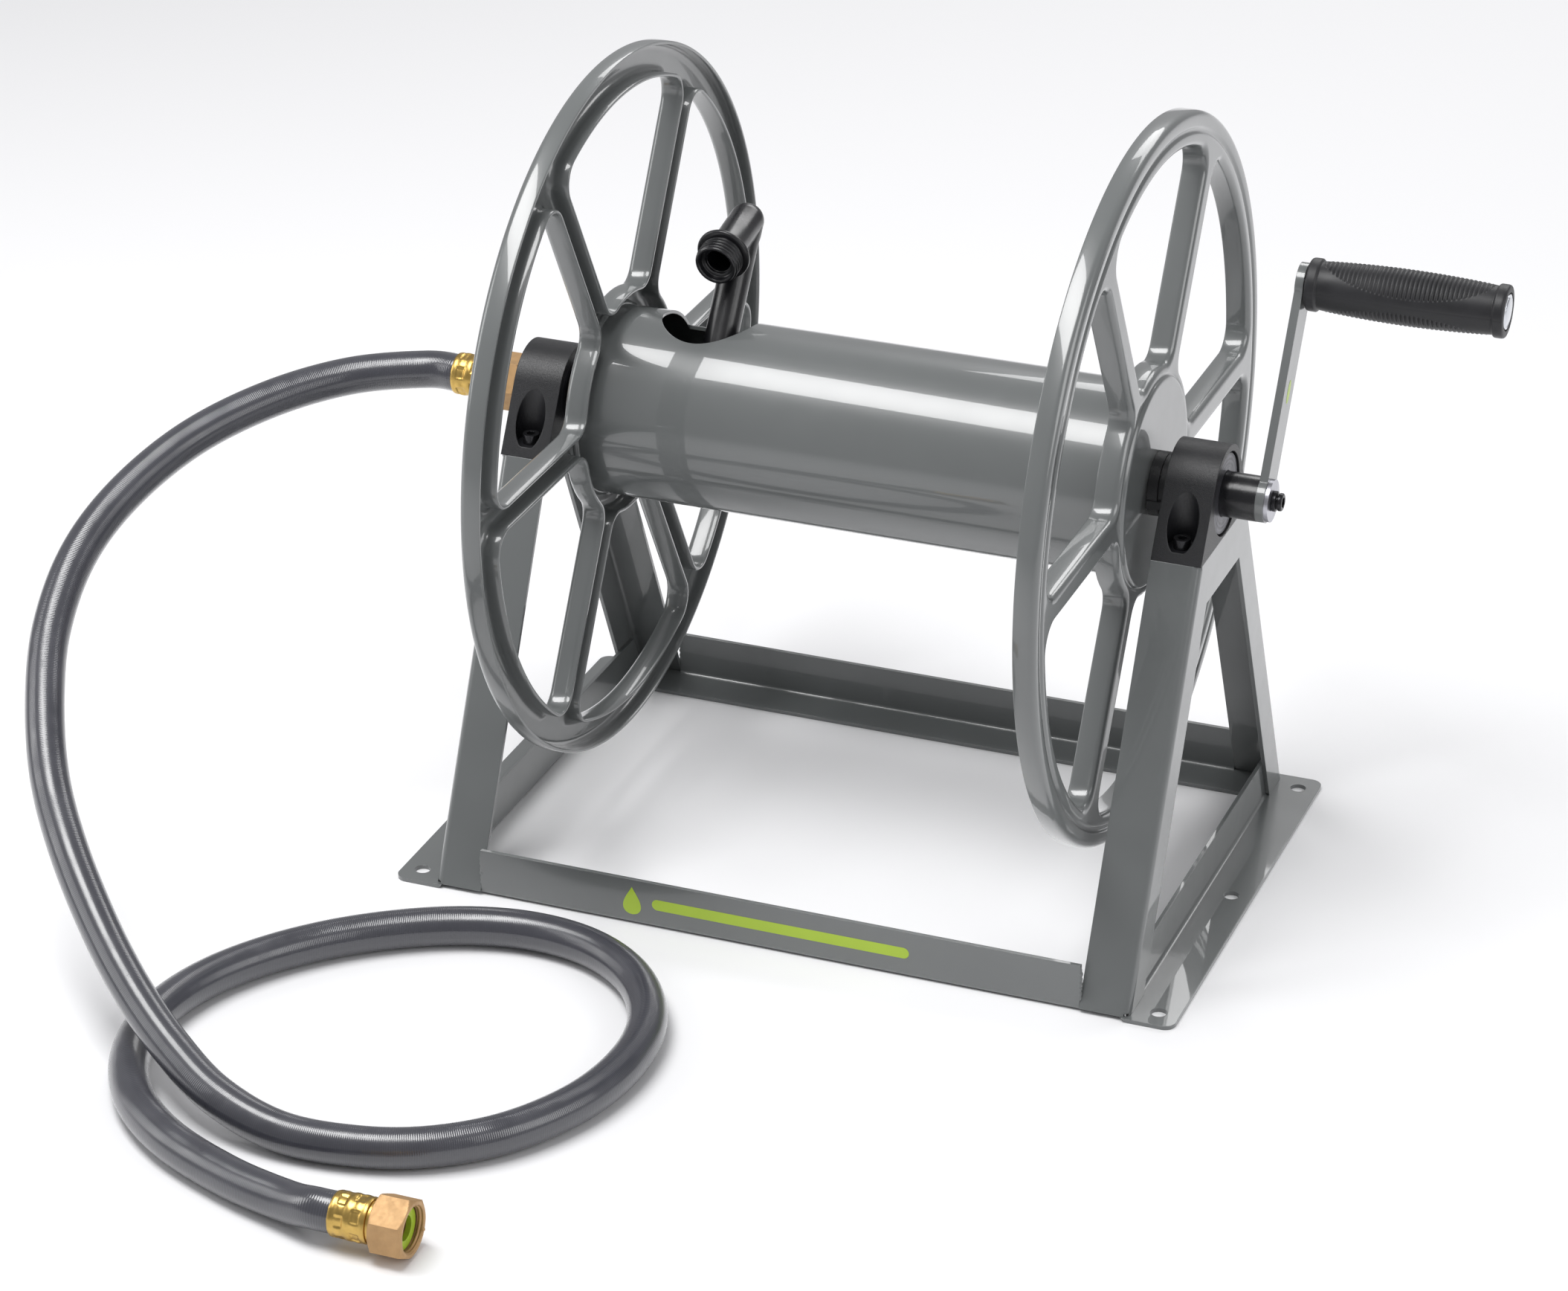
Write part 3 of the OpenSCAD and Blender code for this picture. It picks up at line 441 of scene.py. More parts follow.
def makeHose(values):
    line = smoothLine(hoseRoute, values["stepsPerPoint"])
    radius = values["diameter"] / 2
    sides = values["sides"]
    points = sweepRings(line, [radius] * len(line), sides, (-1, 0, 0), (1, 0, 0))
    faces = ringFaces(len(line), sides)
    faces.append(tuple(range(sides - 1, -1, -1)))
    faces.append(tuple((len(line) - 1) * sides + k for k in range(sides)))
    piece = addPiece("leaderHose", points, faces, vinyl, 60, tidy=False)
    travelled = [0.0]
    for a, b in zip(line, line[1:]):
        travelled.append(travelled[-1] + (b - a).length)
    uvLayer = piece.data.uv_layers.new(name="hoseMap")
    for polygon in piece.data.polygons:
        around = [v % sides for v in polygon.vertices]
        seam = max(around) - min(around) > sides / 2
        for loop, vertex in zip(polygon.loop_indices, polygon.vertices):
            k = vertex % sides
            turn = (k + sides if seam and k < sides / 2 else k) / sides
            uvLayer.data[loop].uv = (turn, travelled[vertex // sides])
    return piece, line, travelled[-1]


leaderHose, hoseLine, hoseLength = makeHose(hose)
fitPiece(leaderHose, "stand", "hose_vinyl", "leader_hose")
print("hose laid,", round(hoseLength, 3), "m")


# brass fittings

ferrule = {
    "indents": 6,
    "indentDepth": 0.9 * mm,
    "lip": 0.5 * mm,
    "bore": 7 * mm,
}


def makeFerrule(name, node, ahead):
    low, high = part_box(node)
    length = high.x - low.x
    radius = (high.z - low.z) / 2
    centre = (low + high) / 2
    start = Vector((low.x if ahead > 0 else high.x, centre.y, centre.z))
    bore = ferrule["bore"]

    def pressed(along, r, angle):
        if r < radius - 3 * mm:
            return r
        share = along / length
        dent = 0
        for middle in (0.3, 0.72):      # two bands of square dents
            band = max(0.0, 1 - (abs(share - middle) / 0.13) ** 4)
            wave = math.cos(angle * ferrule["indents"] + middle * 5)
            dent += band * min(1.0, max(0.0, 0.5 + 1.6 * wave)) * ferrule["indentDepth"]
        ripple = 0.25 * mm * math.cos(angle * ferrule["indents"]) * math.exp(-share * 12)
        return r - dent - abs(ripple)

    steps = 60
    outline = [(0, bore), (0, radius - 0.9 * mm)]
    for i in range(steps + 1):
        share = i / steps
        along = length * (0.01 + 0.98 * share)
        waist = 0.5 * mm * math.sin(math.pi * share * 4) ** 2
        crown = ferrule["lip"] * (max(0.0, share - 0.93) / 0.07 + max(0.0, 0.07 - share) / 0.07)
        outline.append((along, radius - waist * 0.6 - crown))
    outline += [(length, radius - 0.9 * mm), (length, bore)]
    return turnedPiece(name, outline, start, (ahead, 0, 0), ferruleBrass, 144, True, pressed, 50)


inletFerrule = makeFerrule("inletFerrule", "inlet_ferrule", -1)
endFerrule = makeFerrule("endFerrule", "end_ferrule", 1)
fitPiece(inletFerrule, "stand", "brass_ferrule", "inlet_ferrule")
fitPiece(endFerrule, "stand", "brass_ferrule", "end_ferrule")

nut = {
    "flats": 31 * mm,
    "chamfer": 1.7 * mm,
    "wall": 4 * mm,
    "threadCore": 12.4 * mm,
    "threadDepth": 0.9 * mm,
    "threadPitch": 2.2 * mm,
    "relief": 0.6 * mm,
    "reliefPast": 6.5 * mm,    # room for the tail flange and the washer
    "tailBore": 10.1 * mm,
    "mouth": 13.1 * mm,
    "back": 5.5 * mm,          # the loose end nut stands this far back
    "nub": 1.3 * mm,
}


def makeNut(name, node, ahead, tilt, back):
    low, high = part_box(node)
    length = high.x - low.x
    centre = (low + high) / 2
    start = Vector((low.x if ahead > 0 else high.x, centre.y, centre.z))
    flat = nut["flats"] / 2
    corner = flat / math.cos(math.radians(30))

    def hexagon(along, r, angle):
        if r < flat - 2 * mm:
            if abs(r - nut["threadCore"]) < 0.01 * mm:
                ridge = abs(((along / nut["threadPitch"] - angle / (2 * math.pi)) % 1) - 0.5) * 2
                return r + nut["threadDepth"] * max(0.0, 1 - ridge * 1.4)
            return r
        turned = (angle - tilt + math.pi / 6) % (math.pi / 3) - math.pi / 6
        return min(flat / math.cos(turned), r)

    outline = [(0, nut["tailBore"]), (0, flat - 0.8 * mm)]
    for i in range(5):
        outline.append((nut["chamfer"] * i / 4, flat - 0.3 * mm + (corner - flat + 0.3 * mm) * i / 4))
    for i in range(1, 13):
        outline.append((nut["chamfer"] + (length - 2 * nut["chamfer"]) * i / 12, corner))
    for i in range(1, 5):
        outline.append((length - nut["chamfer"] + nut["chamfer"] * i / 4,
                        corner - (corner - flat + 0.3 * mm) * i / 4))
    outline += [(length, flat - 0.8 * mm), (length, nut["mouth"] + 0.4 * mm),
                (length - 0.5 * mm, nut["mouth"])]
    threadSteps = 60
    threadStart = nut["wall"] + nut["reliefPast"] + back
    for i in range(threadSteps + 1):
        outline.append((length - 1.2 * mm - (length - 1.2 * mm - threadStart) * i / threadSteps,
                        nut["threadCore"]))
    chamber = nut["threadCore"] + nut["relief"]
    outline += [(threadStart - 0.4 * mm, chamber), (nut["wall"], chamber), (nut["wall"], nut["tailBore"])]
    return turnedPiece(name, outline, start, (ahead, 0, 0), nutBrass, 144, True, hexagon, 32)


inletNut = makeNut("inletNut", "inlet_nut", 1, math.radians(30), 0)
endNut = makeNut("endNut", "end_nut", 1, 0, nut["back"])
fitPiece(inletNut, "stand", "brass_nut", "inlet_nut")
fitPiece(endNut, "end_coupling", "brass_nut", "end_nut")
nutLow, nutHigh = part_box("end_nut")
nutMiddle = (nutLow + nutHigh) / 2
# a small round nub on the rim of the mouth, low on the far side
nubPlace = Vector((nutHigh.x - 0.5 * mm, nutMiddle.y + nut["flats"] * 0.39,
                   nutMiddle.z - nut["flats"] * 0.23))
nubOutline = [(nut["nub"] * math.sin(math.radians(a)), nut["nub"] * math.cos(math.radians(a)))
              for a in range(0, 91, 10)]
nutNub = turnedPiece("nutNub", nubOutline, nubPlace, (1, 0, 0), nutBrass, 32)
fitPiece(nutNub, "end_coupling", "brass_nut")
print("brass fittings made")


# pressed flanges

flange = {
    "spokes": 6,
    "spokeWidth": 16 * mm,
    "windowOuter": 194 * mm,
    "windowInner": 69 * mm,
    "outerCorner": 14 * mm,
    "innerCorner": 12 * mm,
    "edgeRound": 4 * mm,       # roll of the sheet into a window wall
    "trough": 5 * mm,          # hollow curve on the drum side
    "sheet": 2.2 * mm,
    "bossRaise": 1.5 * mm,
    "bossRadius": 62.5 * mm,
    "shaftRadius": 13.3 * mm,
    "drumEdge": 57.5 * mm,     # the disc ends inside the drum
    "bandRound": 4.5 * mm,
    "wheelSteps": 288,
}


def windowOutline(grow, middle):
    # outline of one window, grown by grow, as points in the plane of the wheel
    gap = flange["spokeWidth"] / 2 - grow
    outer, inner = flange["windowOuter"] + grow, flange["windowInner"] - grow
    outerCorner, innerCorner = flange["outerCorner"] + grow, flange["innerCorner"] + grow
    outerY, innerY = gap + outerCorner, gap + innerCorner
    outerX = math.sqrt((outer - outerCorner) ** 2 - outerY ** 2)
    innerX = math.sqrt((inner + innerCorner) ** 2 - innerY ** 2)
    outerAngle = math.degrees(math.atan2(outerY, outerX))
    innerAngle = math.degrees(math.atan2(innerY, innerX))
    wide = 360 / flange["spokes"]
    half = arc((innerX, innerY), innerCorner, innerAngle + 180, 270, 10)
    half += [(innerX + (outerX - innerX) * i / 8, gap) for i in range(1, 8)]
    half += arc((outerX, outerY), outerCorner, -90, outerAngle, 12)
    bend = math.radians(wide)
    other = [(x * math.cos(bend) + y * math.sin(bend), x * math.sin(bend) - y * math.cos(bend))
             for x, y in half]
    outerArc = arc((0, 0), outer, outerAngle, wide - outerAngle, 26)[1:-1]
    innerArc = arc((0, 0), inner, wide - innerAngle, innerAngle, 6)[1:-1]
    outline = half + outerArc + other[::-1] + innerArc
    turn = math.radians(middle - wide / 2)
    return [(x * math.cos(turn) - y * math.sin(turn), x * math.sin(turn) + y * math.cos(turn))
            for x, y in outline]


def rollProfile(depth):
    # (grow, depth) of the sheet from the web round the window edge and back
    roll, sheet, trough = flange["edgeRound"], flange["sheet"], flange["trough"]
    profile = [(roll + 0.6 * mm, 0)]
    for i in range(9):
        angle = math.pi / 2 * i / 8
        profile.append((roll * (1 - math.sin(angle)), roll * (1 - math.cos(angle))))
    profile += [(0, depth - 0.7 * mm), (0.3 * mm, depth - 0.15 * mm), (0.8 * mm, depth),
                (sheet - 0.6 * mm, depth), (sheet, depth - 0.7 * mm)]
    for i in range(9):
        angle = math.pi / 2 * i / 8
        profile.append((sheet + trough * (1 - math.cos(angle)), sheet + trough * (1 - math.sin(angle))))
    profile.append((sheet + trough + 0.4 * mm, sheet))
    return profile


def makeFlange(name, node, out):
    low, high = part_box(node)
    middle = (low + high) / 2
    faceX = high.x - flange["bossRaise"] if out > 0 else low.x + flange["bossRaise"]
    wheelRadius = (high.z - low.z) / 2
    windowDepth = (high.x - low.x) - flange["bossRaise"]
    rimDepth = windowDepth - 2 * mm
    sheet, trough = flange["sheet"], flange["trough"]
    steps = flange["wheelSteps"]
    points, faces = [], []
    outerLoops, innerLoops = [], []

    def put(y, z, depth):
        points.append(Vector((faceX - out * depth, middle.y + y, middle.z + z)))
        return len(points) - 1

    # walls of the windows
    for w in range(flange["spokes"]):
        centreAngle = 360 / flange["spokes"] * (w + 0.5)
        rings = [[put(y, z, depth) for y, z in windowOutline(grow, centreAngle)]
                 for grow, depth in rollProfile(windowDepth)]
        for first, second in zip(rings, rings[1:]):
            for k in range(len(first)):
                n = (k + 1) % len(first)
                faces.append((first[k], first[n], second[n], second[k]))
        outerLoops.append(rings[0])
        innerLoops.append(rings[-1])

    def circleRings(profile):
        rings = []
        for radius, depth in profile:
            rings.append([put(radius * math.cos(2 * math.pi * k / steps),
                              radius * math.sin(2 * math.pi * k / steps), depth) for k in range(steps)])
        for first, second in zip(rings, rings[1:]):
            for k in range(steps):
                n = (k + 1) % steps
                faces.append((first[k], first[n], second[n], second[k]))
        return rings

    # rim: groove, outer band and the hollow behind it
    rimStart = flange["windowOuter"] + flange["edgeRound"] + 1.2 * mm
    groove = rimStart + 4.4 * mm
    rim = [(rimStart, 0), (groove - 2.6 * mm, 0), (groove - 1.9 * mm, 0.25 * mm),
           (groove - 1.2 * mm, 1.1 * mm), (groove - 0.5 * mm, 1.5 * mm), (groove + 0.5 * mm, 1.5 * mm),
           (groove + 1.2 * mm, 1.1 * mm), (groove + 1.9 * mm, 0.25 * mm), (groove + 2.6 * mm, 0)]
    bandRound = flange["bandRound"]
    for i in range(9):
        angle = math.pi / 2 * i / 8
        rim.append((wheelRadius - bandRound * (1 - math.sin(angle)), bandRound * (1 - math.cos(angle))))
    rim += [(wheelRadius, rimDepth - 0.7 * mm), (wheelRadius - 0.3 * mm, rimDepth - 0.1 * mm),
            (wheelRadius - 0.9 * mm, rimDepth), (wheelRadius - sheet + 0.5 * mm, rimDepth),
            (wheelRadius - sheet, rimDepth - 0.6 * mm)]
    for i in range(9):
        angle = math.pi / 2 * i / 8
        rim.append((wheelRadius - sheet - trough * (1 - math.cos(angle)),
                    sheet + trough * (1 - math.sin(angle))))
    innerRimStart = flange["windowOuter"] + sheet + trough + 1.2 * mm
    rim.append((innerRimStart, sheet))
    rimRings = circleRings(rim)

    # raised centre with a groove round it, and the disc inside the drum
    boss = flange["bossRadius"]
    bossRings = circleRings([
        (boss + 1.6 * mm, 0), (boss + 1.2 * mm, 0.15 * mm), (boss + 0.7 * mm, 0.55 * mm),
        (boss + 0.2 * mm, 0.45 * mm), (boss - 0.3 * mm, -0.4 * mm), (boss - 0.9 * mm, -1.15 * mm),
        (boss - 1.7 * mm, -1.5 * mm),
        (boss - 3 * mm, -flange["bossRaise"]), (flange["shaftRadius"], -flange["bossRaise"]),
        (flange["shaftRadius"], sheet), (flange["drumEdge"], sheet),
    ])

    piece = addPiece(name, points, faces, enamel, 50, tidy=False)
    work = bmesh.new()
    work.from_mesh(piece.data)
    work.verts.ensure_lookup_table()

    def loopEdges(loop):
        found = []
        for k in range(len(loop)):
            a, b = work.verts[loop[k]], work.verts[loop[(k + 1) % len(loop)]]
            found.append(work.edges.get((a, b)) or work.edges.new((a, b)))
        return found

    for loops in ([*outerLoops, rimRings[0], bossRings[0]], [*innerLoops, rimRings[-1], bossRings[-1]]):
        edges = [e for loop in loops for e in loopEdges(loop)]
        bmesh.ops.triangle_fill(work, edges=edges, use_beauty=True, normal=(1, 0, 0))
    bmesh.ops.recalc_face_normals(work, faces=work.faces)
    work.to_mesh(piece.data)
    work.free()
    piece.data.shade_smooth()
    piece.data.set_sharp_from_angle(angle=math.radians(50))
    return piece


fitPiece(makeFlange("rightFlange", "right_flange", 1), "reel", "enamel", "right_flange")
fitPiece(makeFlange("leftFlange", "left_flange", -1), "reel", "enamel", "left_flange")
print("flanges pressed")


# weld beads

weld = {
    "ripple": 0.22,
    "rippleLength": 3.2 * mm,
    "drumSize": 1.7 * mm,
    "railSize": 1.1 * mm,
    "drumSheet": 2.5 * mm,
    "inset": 1.4 * mm,         # how far the bead sits in from the end of the drum
}


def makeWeld(name, line, closed, size, seed):
    # a lumpy bead laid along a line
    travelled = 0.0
    sizes = []
    for i, point in enumerate(line):
        if i:
            travelled += (point - line[i - 1]).length
        lump = 1 + weld["ripple"] * math.sin(travelled / weld["rippleLength"] * 2 * math.pi)
        lump += 0.35 * noise.noise(Vector((travelled * 220, seed, 0)))
        taper = 1 if closed else min(1, 0.25 + 6 * min(i, len(line) - 1 - i) / len(line))
        sizes.append(size * lump * taper)
    sides = 12
    if closed:
        heading = tuple((line[1] - line[0]).normalized())
        points = sweepRings(line + [line[0]], sizes + [sizes[0]], sides, heading, heading)[:-sides]
        faces = ringFaces(len(line), sides, True)
    else:
        points = sweepRings(line, sizes, sides)
        faces = ringFaces(len(line), sides)
        faces += [tuple(range(sides - 1, -1, -1)), tuple((len(line) - 1) * sides + k for k in range(sides))]
    return addPiece(name, points, faces, enamel, 70)


drumLow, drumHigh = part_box("drum")
drumRadius = (drumHigh.y - drumLow.y) / 2 - weld["drumSheet"]
for side, weldX in (("left", drumLow.x + weld["inset"]), ("right", drumHigh.x - weld["inset"])):
    circle = [Vector((weldX, axle.y + drumRadius * math.cos(2 * math.pi * k / 220),
                      axle.z + drumRadius * math.sin(2 * math.pi * k / 220))) for k in range(220)]
    fitPiece(makeWeld(side + "DrumWeld", circle, True, weld["drumSize"], weldX * 50), "reel", "enamel")


def straightLine(a, b, count=40):
    return [Vector(a).lerp(Vector(b), i / count) for i in range(count + 1)]


frameBox = {side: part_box(side + "_side_frame") for side in ("left", "right")}
railBox = {end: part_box(end + "_rail") for end in ("front", "rear")}
railTop = railBox["front"][1].z
for side, out in (("left", -1), ("right", 1)):
    flangeEdge = frameBox[side][0].x if out > 0 else frameBox[side][1].x
    for end, ahead in (("front", -1), ("rear", 1)):
        legFace = ahead * (railBox[end][0 if ahead < 0 else 1].y * ahead - 1.2 * mm)
        upright = straightLine((flangeEdge - out * 0.2 * mm, legFace, 4 * mm),
                               (flangeEdge - out * 0.2 * mm, legFace, railTop - 1.5 * mm))
        bead = makeWeld(side + end.capitalize() + "RailWeld", upright, False, weld["railSize"],
                        out + ahead * 3.0)
        fitPiece(bead, "stand", "enamel")
print("welds laid")


# outlet elbow with a screw thread

outlet = {
    "lean": 35,
    "reach": 118.5 * mm,
    "drop": 12,
    "spout": 51 * mm,
    "pipe": 10 * mm,
    "bore": 7.3 * mm,
    "collar": 16.5 * mm,
    "collarLength": 3 * mm,
    "core": 12.4 * mm,
    "thread": 13.5 * mm,
    "threadLength": 12 * mm,
    "pitch": 2.8 * mm,
    "footDepth": 17 * mm,
    "knuckle": 1.2 * mm,     # soft joint where the riser meets the spout
}


def makeOutlet(values):
    low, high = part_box("outlet_pipe")
    middleX = (low.x + high.x) / 2
    lean, drop = math.radians(values["lean"]), math.radians(values["drop"])
    rise = Vector((0, math.sin(lean), math.cos(lean)))
    base = Vector((middleX, axle.y, axle.z))
    corner = base + rise * values["reach"]
    pipe, reach = values["pipe"], values["reach"]
    outline = [(values["footDepth"], pipe), (reach - 16 * mm, pipe)]
    outline += [(reach - 16 * mm + 8 * mm * i / 8, pipe + 0.5 * mm * (i / 8) ** 2) for i in range(1, 9)]
    outline += [(reach - 2 * mm, pipe + values["knuckle"] * 0.45), (reach, pipe * 0.8)]
    riser = turnedPiece("outletRiser", outline, base, tuple(rise), pipeBlack, 96)
    ahead = Vector((0, -math.cos(drop), -math.sin(drop)))
    length = values["spout"]
    threadStart = length - values["threadLength"]
    collarStart = threadStart - values["collarLength"]

    def threaded(along, r, angle):
        if abs(r - values["core"]) > 0.02 * mm:
            return r
        phase = (along / values["pitch"] - angle / (2 * math.pi)) % 1
        crest = min(1.0, max(0.0, 1.25 - abs(phase - 0.5) * 4.2))
        fade = min(1.0, (along - threadStart) / (0.6 * values["pitch"]),
                   (length - 0.5 * mm - along) / (0.5 * values["pitch"]) + 0.3)
        return r + (values["thread"] - values["core"]) * crest * max(0.0, fade)

    collar, core, bore, end = values["collar"], values["core"], values["bore"], pipe + 0.6 * mm
    outline = [(-end * math.cos(math.radians(a)), end * math.sin(math.radians(a))) for a in range(0, 90, 6)]
    outline += [(0, end), (collarStart - 0.8 * mm, end), (collarStart - 0.2 * mm, end + 0.3 * mm),
                (collarStart, end + 0.9 * mm), (collarStart, collar - 0.9 * mm),
                (collarStart + 0.3 * mm, collar - 0.3 * mm), (collarStart + 0.9 * mm, collar),
                (threadStart - 0.9 * mm, collar), (threadStart - 0.3 * mm, collar - 0.3 * mm),
                (threadStart, collar - 0.9 * mm), (threadStart, core + 0.5 * mm)]
    threadSteps = 110
    for i in range(threadSteps + 1):
        outline.append((threadStart + 0.1 * mm + (length - 0.5 * mm - threadStart) * i / threadSteps, core))
    outline += [(length - 0.15 * mm, core - 0.2 * mm), (length, core - 0.6 * mm), (length, 10.9 * mm),
                (length - 0.4 * mm, 10.4 * mm), (length - 3.6 * mm, 10.2 * mm), (length - 4 * mm, 9.8 * mm),
                (length - 4 * mm, 8.3 * mm), (length - 4.3 * mm, 7.9 * mm), (length - 5.5 * mm, 7.8 * mm),
                (length - 5.8 * mm, bore), (2 * mm, bore)]
    spout = turnedPiece("outletSpout", outline, corner, tuple(ahead), pipeBlack, 144, False, threaded, 40)
    return riser, spout


outletRiser, outletSpout = makeOutlet(outlet)
fitPiece(outletRiser, "reel", "pipe_black", "outlet_pipe")
fitPiece(outletSpout, "reel", "pipe_black")
print("outlet turned")


# crank grip

grip = {
    "collarLength": 7 * mm,
    "neck": 14 * mm,
    "barrel": 16.1 * mm,
    "collar": 15.5 * mm,
    "ribPitch": 2.6 * mm,
    "ribDepth": 0.95 * mm,
    "panelHalf": 74,          # degrees round the barrel
    "seamDepth": 0.12 * mm,
}


def gripProfile(along, length):
    # radius of the sleeve before its ribs
    end = min(along, length - along)
    collarLength = grip["collarLength"]
    if end < collarLength:
        t = end / collarLength
        rounding = math.sqrt(max(0.0, 1 - (2 * t - 1) ** 4)) if t < 0.5 else 1
        fall = 1 - max(0.0, (t - 0.78) / 0.22) ** 2
        step = 1.2 * mm if t < 0.04 else 0
        return grip["neck"] + (grip["collar"] - grip["neck"]) * fall * rounding - step
    share = (along - collarLength) / (length - 2 * collarLength)
    return grip["neck"] + (grip["barrel"] - grip["neck"]) * math.sin(math.pi * share) ** 0.8


def makeGrip():
    low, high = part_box("grip_sleeve")
    length = high.x - low.x
    barrelStart = grip["collarLength"] + 1.5 * mm
    barrelLength = length - 2 * barrelStart

    def ribbed(along, r, angle):
        if r < 12 * mm:
            return r
        share = (along - barrelStart) / barrelLength
        if 0 < share < 1:
            half = math.radians(grip["panelHalf"]) * math.sqrt(max(0.0, 1 - (2 * share - 1) ** 2))
            # measure round from the top or the bottom of the grip
            away = abs((angle % math.pi) - math.pi / 2)
            inside = (half - away) * r
            edge = min(1.0, max(0.0, inside / (0.7 * mm)))
            rib = abs(math.sin(math.pi * along / grip["ribPitch"])) ** 0.7
            r += edge * (0.2 * mm - grip["ribDepth"] * (1 - rib))
        seam = min(angle % math.pi, math.pi - angle % math.pi) * r
        return r - grip["seamDepth"] * math.exp(-(seam / (0.25 * mm)) ** 2)

    steps = 400
    outline = [(0, 9 * mm), (0, grip["collar"] - 2.2 * mm)]
    for i in range(1, steps):
        along = length * i / steps
        outline.append((along, gripProfile(along, length)))
    outline += [(length, grip["collar"] - 2.2 * mm), (length, 11.2 * mm), (length - 3 * mm, 11 * mm),
                (length - 3.4 * mm, 9 * mm)]
    start = Vector((low.x, gripAxis.y, gripAxis.z))
    return turnedPiece("gripSleeve", outline, start, (1, 0, 0), gripRubber, 180, True, ribbed, 60)


fitPiece(makeGrip(), "grip", "grip_rubber", "grip_sleeve")

discLow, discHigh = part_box("grip_end_disc")
capLength = discHigh.x - discLow.x
capOutline = [(0.3 * mm, 0), (0.3 * mm, 8.8 * mm), (1.6 * mm, 8.8 * mm), (1.6 * mm, 10.4 * mm),
              (capLength - 1.8 * mm, 10.4 * mm), (capLength - 1.1 * mm, 10.1 * mm),
              (capLength - 0.9 * mm, 9.3 * mm), (capLength - 1.3 * mm, 8.7 * mm),
              (capLength - 1.3 * mm, 8.2 * mm)]
capDome, capRadius = 1.3 * mm, 8.2 * mm
capOutline += [(capLength - capDome + capDome * math.cos(math.radians(a)),
                capRadius * math.sin(math.radians(a))) for a in range(84, -1, -7)]
gripCap = turnedPiece("gripEndCap", capOutline, (discLow.x, gripAxis.y, gripAxis.z), (1, 0, 0), chrome, 96)
fitPiece(gripCap, "reel", "end_chrome", "grip_end_disc")

# screw that holds the crank arm, with a hexagon socket
crankHead = {
    "waist": 4.4 * mm,
    "washerRadius": 6 * mm,
    "headRadius": 5.3 * mm,
    "socket": 3.1 * mm,
}


def makeCrankScrew():
    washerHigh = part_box("crank_washer")[1].x
    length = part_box("crank_screw")[1].x - washerHigh

    def socketed(along, r, angle):
        if r > crankHead["socket"] + 0.1 * mm or along < length - 4 * mm:
            return r
        turned = (angle + math.pi / 6) % (math.pi / 3) - math.pi / 6
        return r * 0.9 / math.cos(turned)

    big, small, waist = crankHead["washerRadius"], crankHead["headRadius"], crankHead["waist"]
    outline = [(-20 * mm, 0), (-20 * mm, 3.9 * mm), (0, 3.9 * mm), (0, big - 0.5 * mm), (0.4 * mm, big),
               (length * 0.36, big), (length * 0.42, big - 0.5 * mm), (length * 0.46, waist),
               (length * 0.54, waist), (length * 0.58, small - 0.3 * mm), (length * 0.64, small),
               (length - 0.9 * mm, small), (length - 0.35 * mm, small - 0.25 * mm),
               (length, small - 0.9 * mm),
               (length, crankHead["socket"] + 0.3 * mm), (length - 0.2 * mm, crankHead["socket"]),
               (length - 3 * mm, crankHead["socket"]), (length - 3.4 * mm, 0)]
    return turnedPiece("crankScrewHead", outline, (washerHigh, axle.y, axle.z), (1, 0, 0), screwBlack,
                       72, False, socketed, 34)


fitPiece(makeCrankScrew(), "reel", "screw_black", "crank_screw")
print("crank grip and screw made")


# bearing faces

def makeBush(name, node, out):
    low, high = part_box(node)
    length = high.x - low.x
    radius = (high.z - low.z) / 2
    shaft = 13.35 * mm
    start = Vector((low.x if out > 0 else high.x, axle.y, axle.z))
    outline = [(0, shaft), (0, radius - 1.2 * mm), (1 * mm, radius - 0.9 * mm),
               (1.1 * mm, radius - 0.05 * mm), (length - 1.6 * mm, radius - 0.05 * mm),
               (length - 1.6 * mm, radius - 0.9 * mm),
               (length - 0.3 * mm, radius - 1.1 * mm)]
    rings = 9
    for i in range(rings + 1):
        r = radius - 1.4 * mm - (radius - 1.4 * mm - shaft - 0.8 * mm) * i / rings
        outline.append((length - (0.12 * mm if i % 2 else 0), r))
    outline += [(length, shaft + 0.5 * mm), (length - 0.5 * mm, shaft)]
    return turnedPiece(name, outline, start, (out, 0, 0), turnedSteel, 96, True, None, 30)


fitPiece(makeBush("rightBushFace", "right_bush", 1), "stand", "bush_metal", "right_bush")
fitPiece(makeBush("leftBushFace", "left_bush", -1), "stand", "bush_metal", "left_bush")
print("bushes turned")


# plain green marks

mark = {
    "left": -98 * mm,
    "right": 84 * mm,
    "height": 7 * mm,
    "drop": 8 * mm,
    "proud": 0.12 * mm,
}


def makeRailMark(values):
    # a plain drop and a stripe on the front of the rail
    low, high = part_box("front_rail")
    y = low.y - values["proud"]
    middleZ = (low.z + high.z) / 2 + 1 * mm
    dropX = values["left"] + values["drop"]
    steps = 48
    drop = [(dropX + values["drop"] * math.sin(a) * (math.sin(a / 2) ** 1.4),
             middleZ + values["drop"] * 1.15 * math.cos(a))
            for a in [2 * math.pi * i / steps for i in range(steps)]]
    half = values["height"] / 2
    barLeft, barRight = dropX + values["drop"] * 1.6, values["right"]
    bar = arc((barRight - half, middleZ), half, -90, 90, 14)
    bar += arc((barLeft + half, middleZ), half, 90, 270, 14)
    points, faces = [], []
    for shape in (drop, bar):
        first = len(points)
        points += [Vector((x, y, z)) for x, z in shape]
        points += [Vector((x, low.y + 0.05 * mm, z)) for x, z in shape]
        n = len(shape)
        faces.append(tuple(first + k for k in range(n)))
        faces += [(first + k, first + (k + 1) % n, first + n + (k + 1) % n, first + n + k)
                  for k in range(n)]
    return addPiece("railMark", points, faces, markLime, 30)


fitPiece(makeRailMark(mark), "stand", "washer_rubber")

